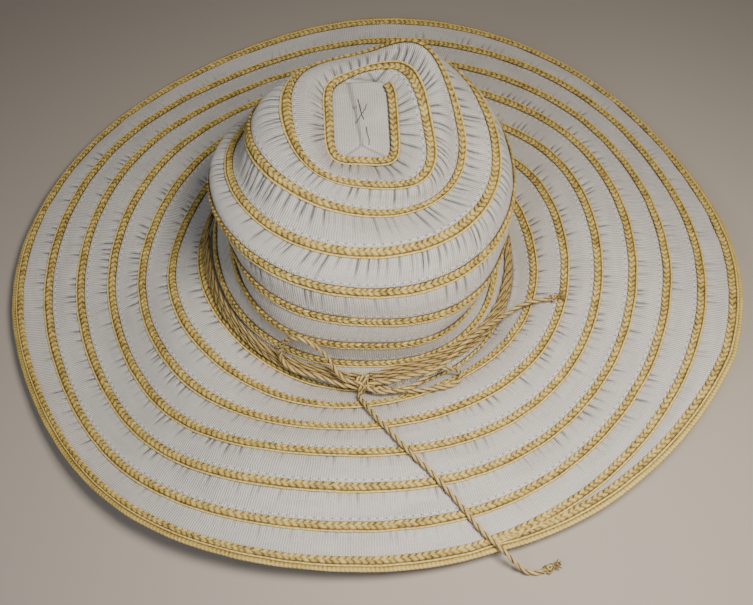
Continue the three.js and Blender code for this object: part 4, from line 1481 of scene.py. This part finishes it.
@dataclass
class BowAndTails:
    """The bow's loops, its tails and the knots: the stretches of cord that lie free, and what ends them."""

    form: HatForm
    finish: bpy.types.Material
    cord: TwistedCord = TwistedCord(diameter=2.6)
    bow_knot: tuple = (-1.9, -98.3, 18.0)
    end_knots: tuple = (
        ("tail_upper_knot", (105.3, -47.8, 16.3)),
        ("tail_lower_knot", (80.9, -203.6, 2.65)),
    )
    frayed_straws: int = 16
    frayed_length: float = 5.5
    # each wrap's shift from the knot's middle, its half depth and half height, and its tip in radians
    wraps: tuple = (
        ((-1.2, -0.6, 0.0), (3.1, 5.3), 0.25),
        ((1.7, -0.3, 0.2), (3.0, 4.9), -0.3),
        ((-3.5, 0.2, -0.3), (2.6, 4.5), -0.1),
    )
    # routes from the ends of the loops and tails into the knot
    carried: tuple = (
        ((-8.2, -99.9, 20.4), (-5.4, -100.9, 20.9), (-2.2, -101.4, 19.9),
         (1.2, -100.8, 18.2), (3.2, -99.2, 17.0)),
        ((-8.2, -99.9, 16.4), (-5.4, -100.4, 16.0), (-2.2, -100.2, 16.6),
         (1.2, -99.4, 18.0), (3.4, -98.6, 19.6)),
        ((4.4, -99.9, 19.0), (2.2, -101.0, 19.6), (-0.8, -101.3, 19.6),
         (-3.6, -100.4, 18.6), (-5.6, -98.8, 17.6)),
        ((4.4, -99.9, 14.6), (2.0, -100.8, 14.4), (-1.0, -100.8, 15.0),
         (-4.0, -99.8, 16.4), (-5.8, -98.6, 18.4)),
        ((1.2, -102.9, 17.0), (-0.8, -102.5, 17.6), (-2.4, -101.4, 19.8),
         (-2.0, -99.6, 22.0), (0.0, -97.8, 22.8)),
        ((-5.2, -102.6, 14.2), (-5.0, -102.4, 16.4), (-4.5, -101.4, 19.2),
         (-3.9, -99.4, 21.6), (-3.2, -97.2, 22.2)),
    )

    def knot_body(self) -> bpy.types.Object:
        """The bow's knot: wraps round its middle, and strands that carry the loops and tails into it.

        A wrap is an ellipse in an upright plane that is turned a little, and a strand is a smooth curve
        from the end of a loop or tail.

        Returns:
            The piece.
        """
        centre = np.array(self.bow_knot)
        strands = []
        for spot, (shift, (deep, tall), tip) in enumerate(self.wraps):
            t = np.linspace(0.0, TURN, 60) + 1.3 * spot
            flat = np.stack([0.5 * np.sin(2.0 * t), deep * np.cos(t), tall * np.sin(t)], axis=-1)
            turned = np.array(Matrix.Rotation(tip, 3, "Y"))
            path = flat @ turned.T + centre + np.array(shift)
            strands.append(TwistedCord(diameter=2.4, twist=9.0, sides=10).rings(path, spot))
        for spot, route in enumerate(self.carried):
            path = self.cord.smooth_path(np.array(route, dtype=float))
            strands.append(self.cord.rings(path, 20 + spot))
        return dress(fused("bow_knot_strands", strands), self.finish, "cord", "bow_knot")

    def build(self) -> list[bpy.types.Object]:
        """The knots first, then the free cords.

        Returns:
            The knots, then the cords.
        """
        knots = {node: self.end_knot(node, place) for node, place in self.end_knots}
        made = [*knots.values(), self.knot_body()]
        for spot, loose in enumerate(LOOSE_CORDS):
            path = self.cord.smooth_path(np.array(loose.route, dtype=float))
            rings, facts = self.cord.rings(path, 20 + spot)
            rings[..., 2] = np.maximum(rings[..., 2], 0.05)
            piece = dress(loft(f"{loose.node}_cord", rings, facts), self.finish, "cord", loose.node)
            made.append(piece)
        return made

    def end_knot(self, node: str, place: tuple) -> bpy.types.Object:
        """One tail's overhand knot, pulled tight, with the frayed end of the cord beyond it.

        The knot's cord follows a trefoil, (sin t + 2 sin 2t, cos t - 2 cos 2t, -sin 3t), shrunk to the
        knot. The frayed straws spread from it, each a thin curve in the cord's own direction.

        Args:
            node: the knot's CAD node.
            place: the knot's middle in mm.

        Returns:
            The piece.
        """
        centre = np.array(place)
        end = np.array(next(loose.route for loose in LOOSE_CORDS if loose.knot == node)[-1], dtype=float)
        ahead = unit(centre - end)
        side = unit(np.cross(ahead, (0.0, 0.0, 1.0)))
        above = np.cross(side, ahead)
        t = np.linspace(0.0, TURN, 90)
        trefoil = (np.sin(t) + 2 * np.sin(2 * t), np.cos(t) - 2 * np.cos(2 * t), -1.6 * np.sin(3 * t))
        knotted = np.stack(trefoil, axis=-1) * 0.62 + centre
        strands = [TwistedCord(diameter=1.9, twist=6.0, sides=10).rings(knotted, 5)]
        lead = np.linspace(end, centre, 7)
        strands.append(self.cord.rings(lead, 6))
        rng = np.random.default_rng(int(abs(place[0]) * 10))
        for spot in range(self.frayed_straws):
            spread = rng.uniform(-1.0, 1.0, 2)
            reach = rng.uniform(0.7, 1.0) * self.frayed_length
            t = np.linspace(0.0, 1.0, 9)[:, None]
            path = (centre + ahead * (1.2 + reach * t) + side * (spread[0] * (0.7 + 2.6 * t**1.5))
                    + above * (spread[1] * (0.6 + 0.6 * t)) - np.array([0.0, 0.0, 1.0]) * 0.9 * t**2)
            strands.append(TwistedCord(diameter=0.62, twist=4.0, sides=6).rings(path, 8 + spot))
        for ring, _ in strands:
            ring[..., 2] = np.maximum(ring[..., 2], 0.05)
        return dress(fused(f"{node}_strands", strands), self.finish, "cord", node)


@dataclass
class CordBand:
    """The cord's four windings round the foot of the crown."""

    form: HatForm
    finish: bpy.types.Material
    knot: tuple = (-1.9, -98.3, 18.0)
    knot_width: float = 11.6
    knot_depth: float = 7.6
    windings: int = 4
    diameter: float = 2.6
    pitch: float = 2.0
    over_braid: float = 4.3
    into_knot: float = 3.6
    cord_step: float = 0.8
    most_sway: float = 0.6

    def heights(self, angle: np.ndarray) -> np.ndarray:
        """Points of every winding at each angle.

        The lowest winding clears the brim, and each next one is the first point up the wall that lies a
        cord's pitch from the one below, found on a fine table of the wall.

        Args:
            angle: angles round the hat in radians, (n,).

        Returns:
            The points in mm, (windings, n, 3), the lowest winding first.
        """
        form = self.form
        slope = form.brim_slopes(angle)[0]
        first = self.over_braid * (np.tan(slope) + 1.0 / np.cos(slope)) / form.pitch
        steps = np.arange(0.0, 1.2, 0.01)
        place = first[:, None] + steps
        angles = np.broadcast_to(angle[:, None], place.shape)
        wall = form.off_cloth(place, angles, np.full(place.shape, self.over_braid), Side.CROWN)
        found = [wall[:, 0]]
        rows = np.arange(len(angle))
        for _ in range(self.windings - 1):
            away = np.linalg.norm(wall - found[-1][:, None], axis=-1)
            past = (away >= self.pitch) & (wall[..., 2] > found[-1][:, None, 2])
            found.append(wall[rows, np.argmax(past, axis=1)])
        return np.stack(found)

    def build(self) -> list[bpy.types.Object]:
        """One twisted cord a winding, its two ends drawn together at the knot.

        Returns:
            The windings, the lowest first.
        """
        knot = np.array(self.knot)
        clear = (self.knot_width / 2.0 - self.into_knot) / np.linalg.norm(knot)
        turn = np.linspace(clear, TURN - clear, 1400)
        free = smooth((np.minimum(turn, TURN - turn) - clear) / math.radians(12.0))
        points = self.heights(math.atan2(knot[1], knot[0]) + turn)
        drawn_pitch = self.diameter + 2.0 * self.form.seat_gap
        made = []
        for level in range(self.windings):
            gathered = np.broadcast_to(knot, points[level].shape).copy()
            gathered[:, 0] -= np.sin(turn) * knot[1]
            gathered[:, 1] += self.knot_depth * 0.22
            gathered[:, 2] += (level - (self.windings - 1) / 2.0) * drawn_pitch
            path = gathered + (points[level] - gathered) * free[:, None]
            length = run_along(path)[-1]
            count = int(length / self.cord_step) + 1
            even = np.linspace(0.0, length, count)
            sways = [smooth_noise(even / (19.0 + 3.0 * k), 70 + 10 * level + k, 2) for k in range(3)]
            held = smooth(np.minimum(even, length - even) / 15.0)[:, None]
            path = resampled(path, count) + self.most_sway * np.stack(sways, axis=-1) * held
            cord = TwistedCord(diameter=2.2, twist=12.0 + 1.4 * level, sides=14)
            rings, facts = cord.rings(path, 40 + level)
            piece = loft(f"band_winding_{level + 1}", rings, facts)
            made.append(dress(piece, self.finish, "cord", f"band_cord_{level + 1}"))
        return made


# camera, light and floor


@dataclass(frozen=True)
class Lamp:
    """One soft square lamp: its place and aim in metres, its size, power, colour and spread in degrees."""

    name: str
    place: tuple
    aim: tuple
    size: float
    power: float
    colour: tuple
    spread: float

    def build(self) -> None:
        """The lamp, turned to face its aim."""
        data = bpy.data.lights.new(self.name, "AREA")
        data.size = self.size
        data.energy = self.power
        data.color = self.colour
        data.spread = math.radians(self.spread)
        lamp = bpy.data.objects.new(self.name, data)
        lamp.location = self.place
        lamp.rotation_euler = (Vector(self.aim) - Vector(self.place)).to_track_quat("-Z", "Y").to_euler()
        bpy.context.scene.collection.objects.link(lamp)


@dataclass(frozen=True)
class Studio:
    """Camera, lights, sky and floor. The camera's lengths are in mm and its angles in degrees."""

    target: tuple = (6.5, -31.8, 2.5)
    elevation: float = 50.4
    distance: float = 651.4
    lens: float = 54.14
    sensor: float = 36.0
    roll: float = -3.73
    lamps: tuple = (
        Lamp("key", (0.17, -0.34, 0.56), (0.07, -0.14, 0.03), 0.2, 1.55, (1.0, 0.92, 0.8), 95.0),
        Lamp("front", (-0.45, -0.7, 0.7), (-0.08, -0.1, 0.02), 0.4, 0.5, (0.82, 0.9, 1.0), 80.0),
    )
    sky: tuple = (0.97, 0.95, 0.92, 1.0)
    sky_strength: float = 0.095
    floor: tuple = (0.43, 0.385, 0.34, 1.0)
    floor_reach: float = 4.0

    def camera(self) -> None:
        """The camera at the photograph's angle, rolled a little about its own axis."""
        height = math.radians(self.elevation)
        roll = math.radians(self.roll)
        back = Vector((0.0, -math.cos(height), math.sin(height)))
        right = Vector((1.0, 0.0, 0.0))
        above = right.cross(-back)
        turned_right = right * math.cos(roll) + above * math.sin(roll)
        turned_up = above * math.cos(roll) - right * math.sin(roll)
        data = bpy.data.cameras.new("camera")
        data.lens = self.lens
        data.sensor_width = self.sensor
        data.sensor_fit = "HORIZONTAL"
        data.clip_start = 0.01
        camera = bpy.data.objects.new("camera", data)
        place = Vector(to_row(np.array(self.target))) + back * self.distance * MM
        turned = Matrix((turned_right, turned_up, back)).transposed().to_4x4()
        camera.matrix_world = Matrix.Translation(place) @ turned
        bpy.context.scene.collection.objects.link(camera)
        bpy.context.scene.camera = camera

    def build(self) -> None:
        """Camera, two soft lamps, a pale sky and the floor."""
        self.camera()
        for lamp in self.lamps:
            lamp.build()
        world = bpy.data.worlds.new("pale_sky")
        world.use_nodes = True
        background = world.node_tree.nodes["Background"]
        background.inputs[0].default_value = self.sky
        background.inputs[1].default_value = self.sky_strength
        bpy.context.scene.world = world
        reach = self.floor_reach
        mesh = bpy.data.meshes.new("floor")
        corners = [(-reach, -reach, 0), (reach, -reach, 0), (reach, reach, 0), (-reach, reach, 0)]
        mesh.from_pydata(corners, [], [(0, 1, 2, 3)])
        floor = bpy.data.objects.new("floor", mesh)
        board = Board("floor_pale")
        board.shader.inputs["Base Color"].default_value = self.floor
        board.shader.inputs["Roughness"].default_value = 0.8
        mesh.materials.append(board.material)
        bpy.context.scene.collection.objects.link(floor)


def main() -> None:
    """Builds the hat's sub-assemblies in order and reports each piece."""
    logging.basicConfig(level=logging.INFO, format="%(message)s")
    Studio().build()
    form = HatForm()
    straw = STRAW.material()
    ribbon = RibbonFinish().material()
    made = BowAndTails(form, LOOSE_STRAW.material()).build()
    made += CordBand(form, SHADED_BAND_STRAW.material()).build()
    cloth = SpiralRibbon(form, ribbon)
    made.append(cloth.build(Side.BRIM, "brim_ribbon_cloth", "brim_ribbon"))
    made.append(cloth.build(Side.CROWN, "crown_ribbon_cloth", "crown_wall_ribbon", "crown_top_ribbon"))
    made += CrownPatch(form, ribbon, DARK_THREAD.material()).build()
    made += StrawBraid(form, straw).build()
    for piece in made:
        triangles = sum(len(p.vertices) - 2 for p in piece.data.polygons)
        log.info("%s: %d triangles", piece.name, triangles)


if __name__ == "__main__":
    main()
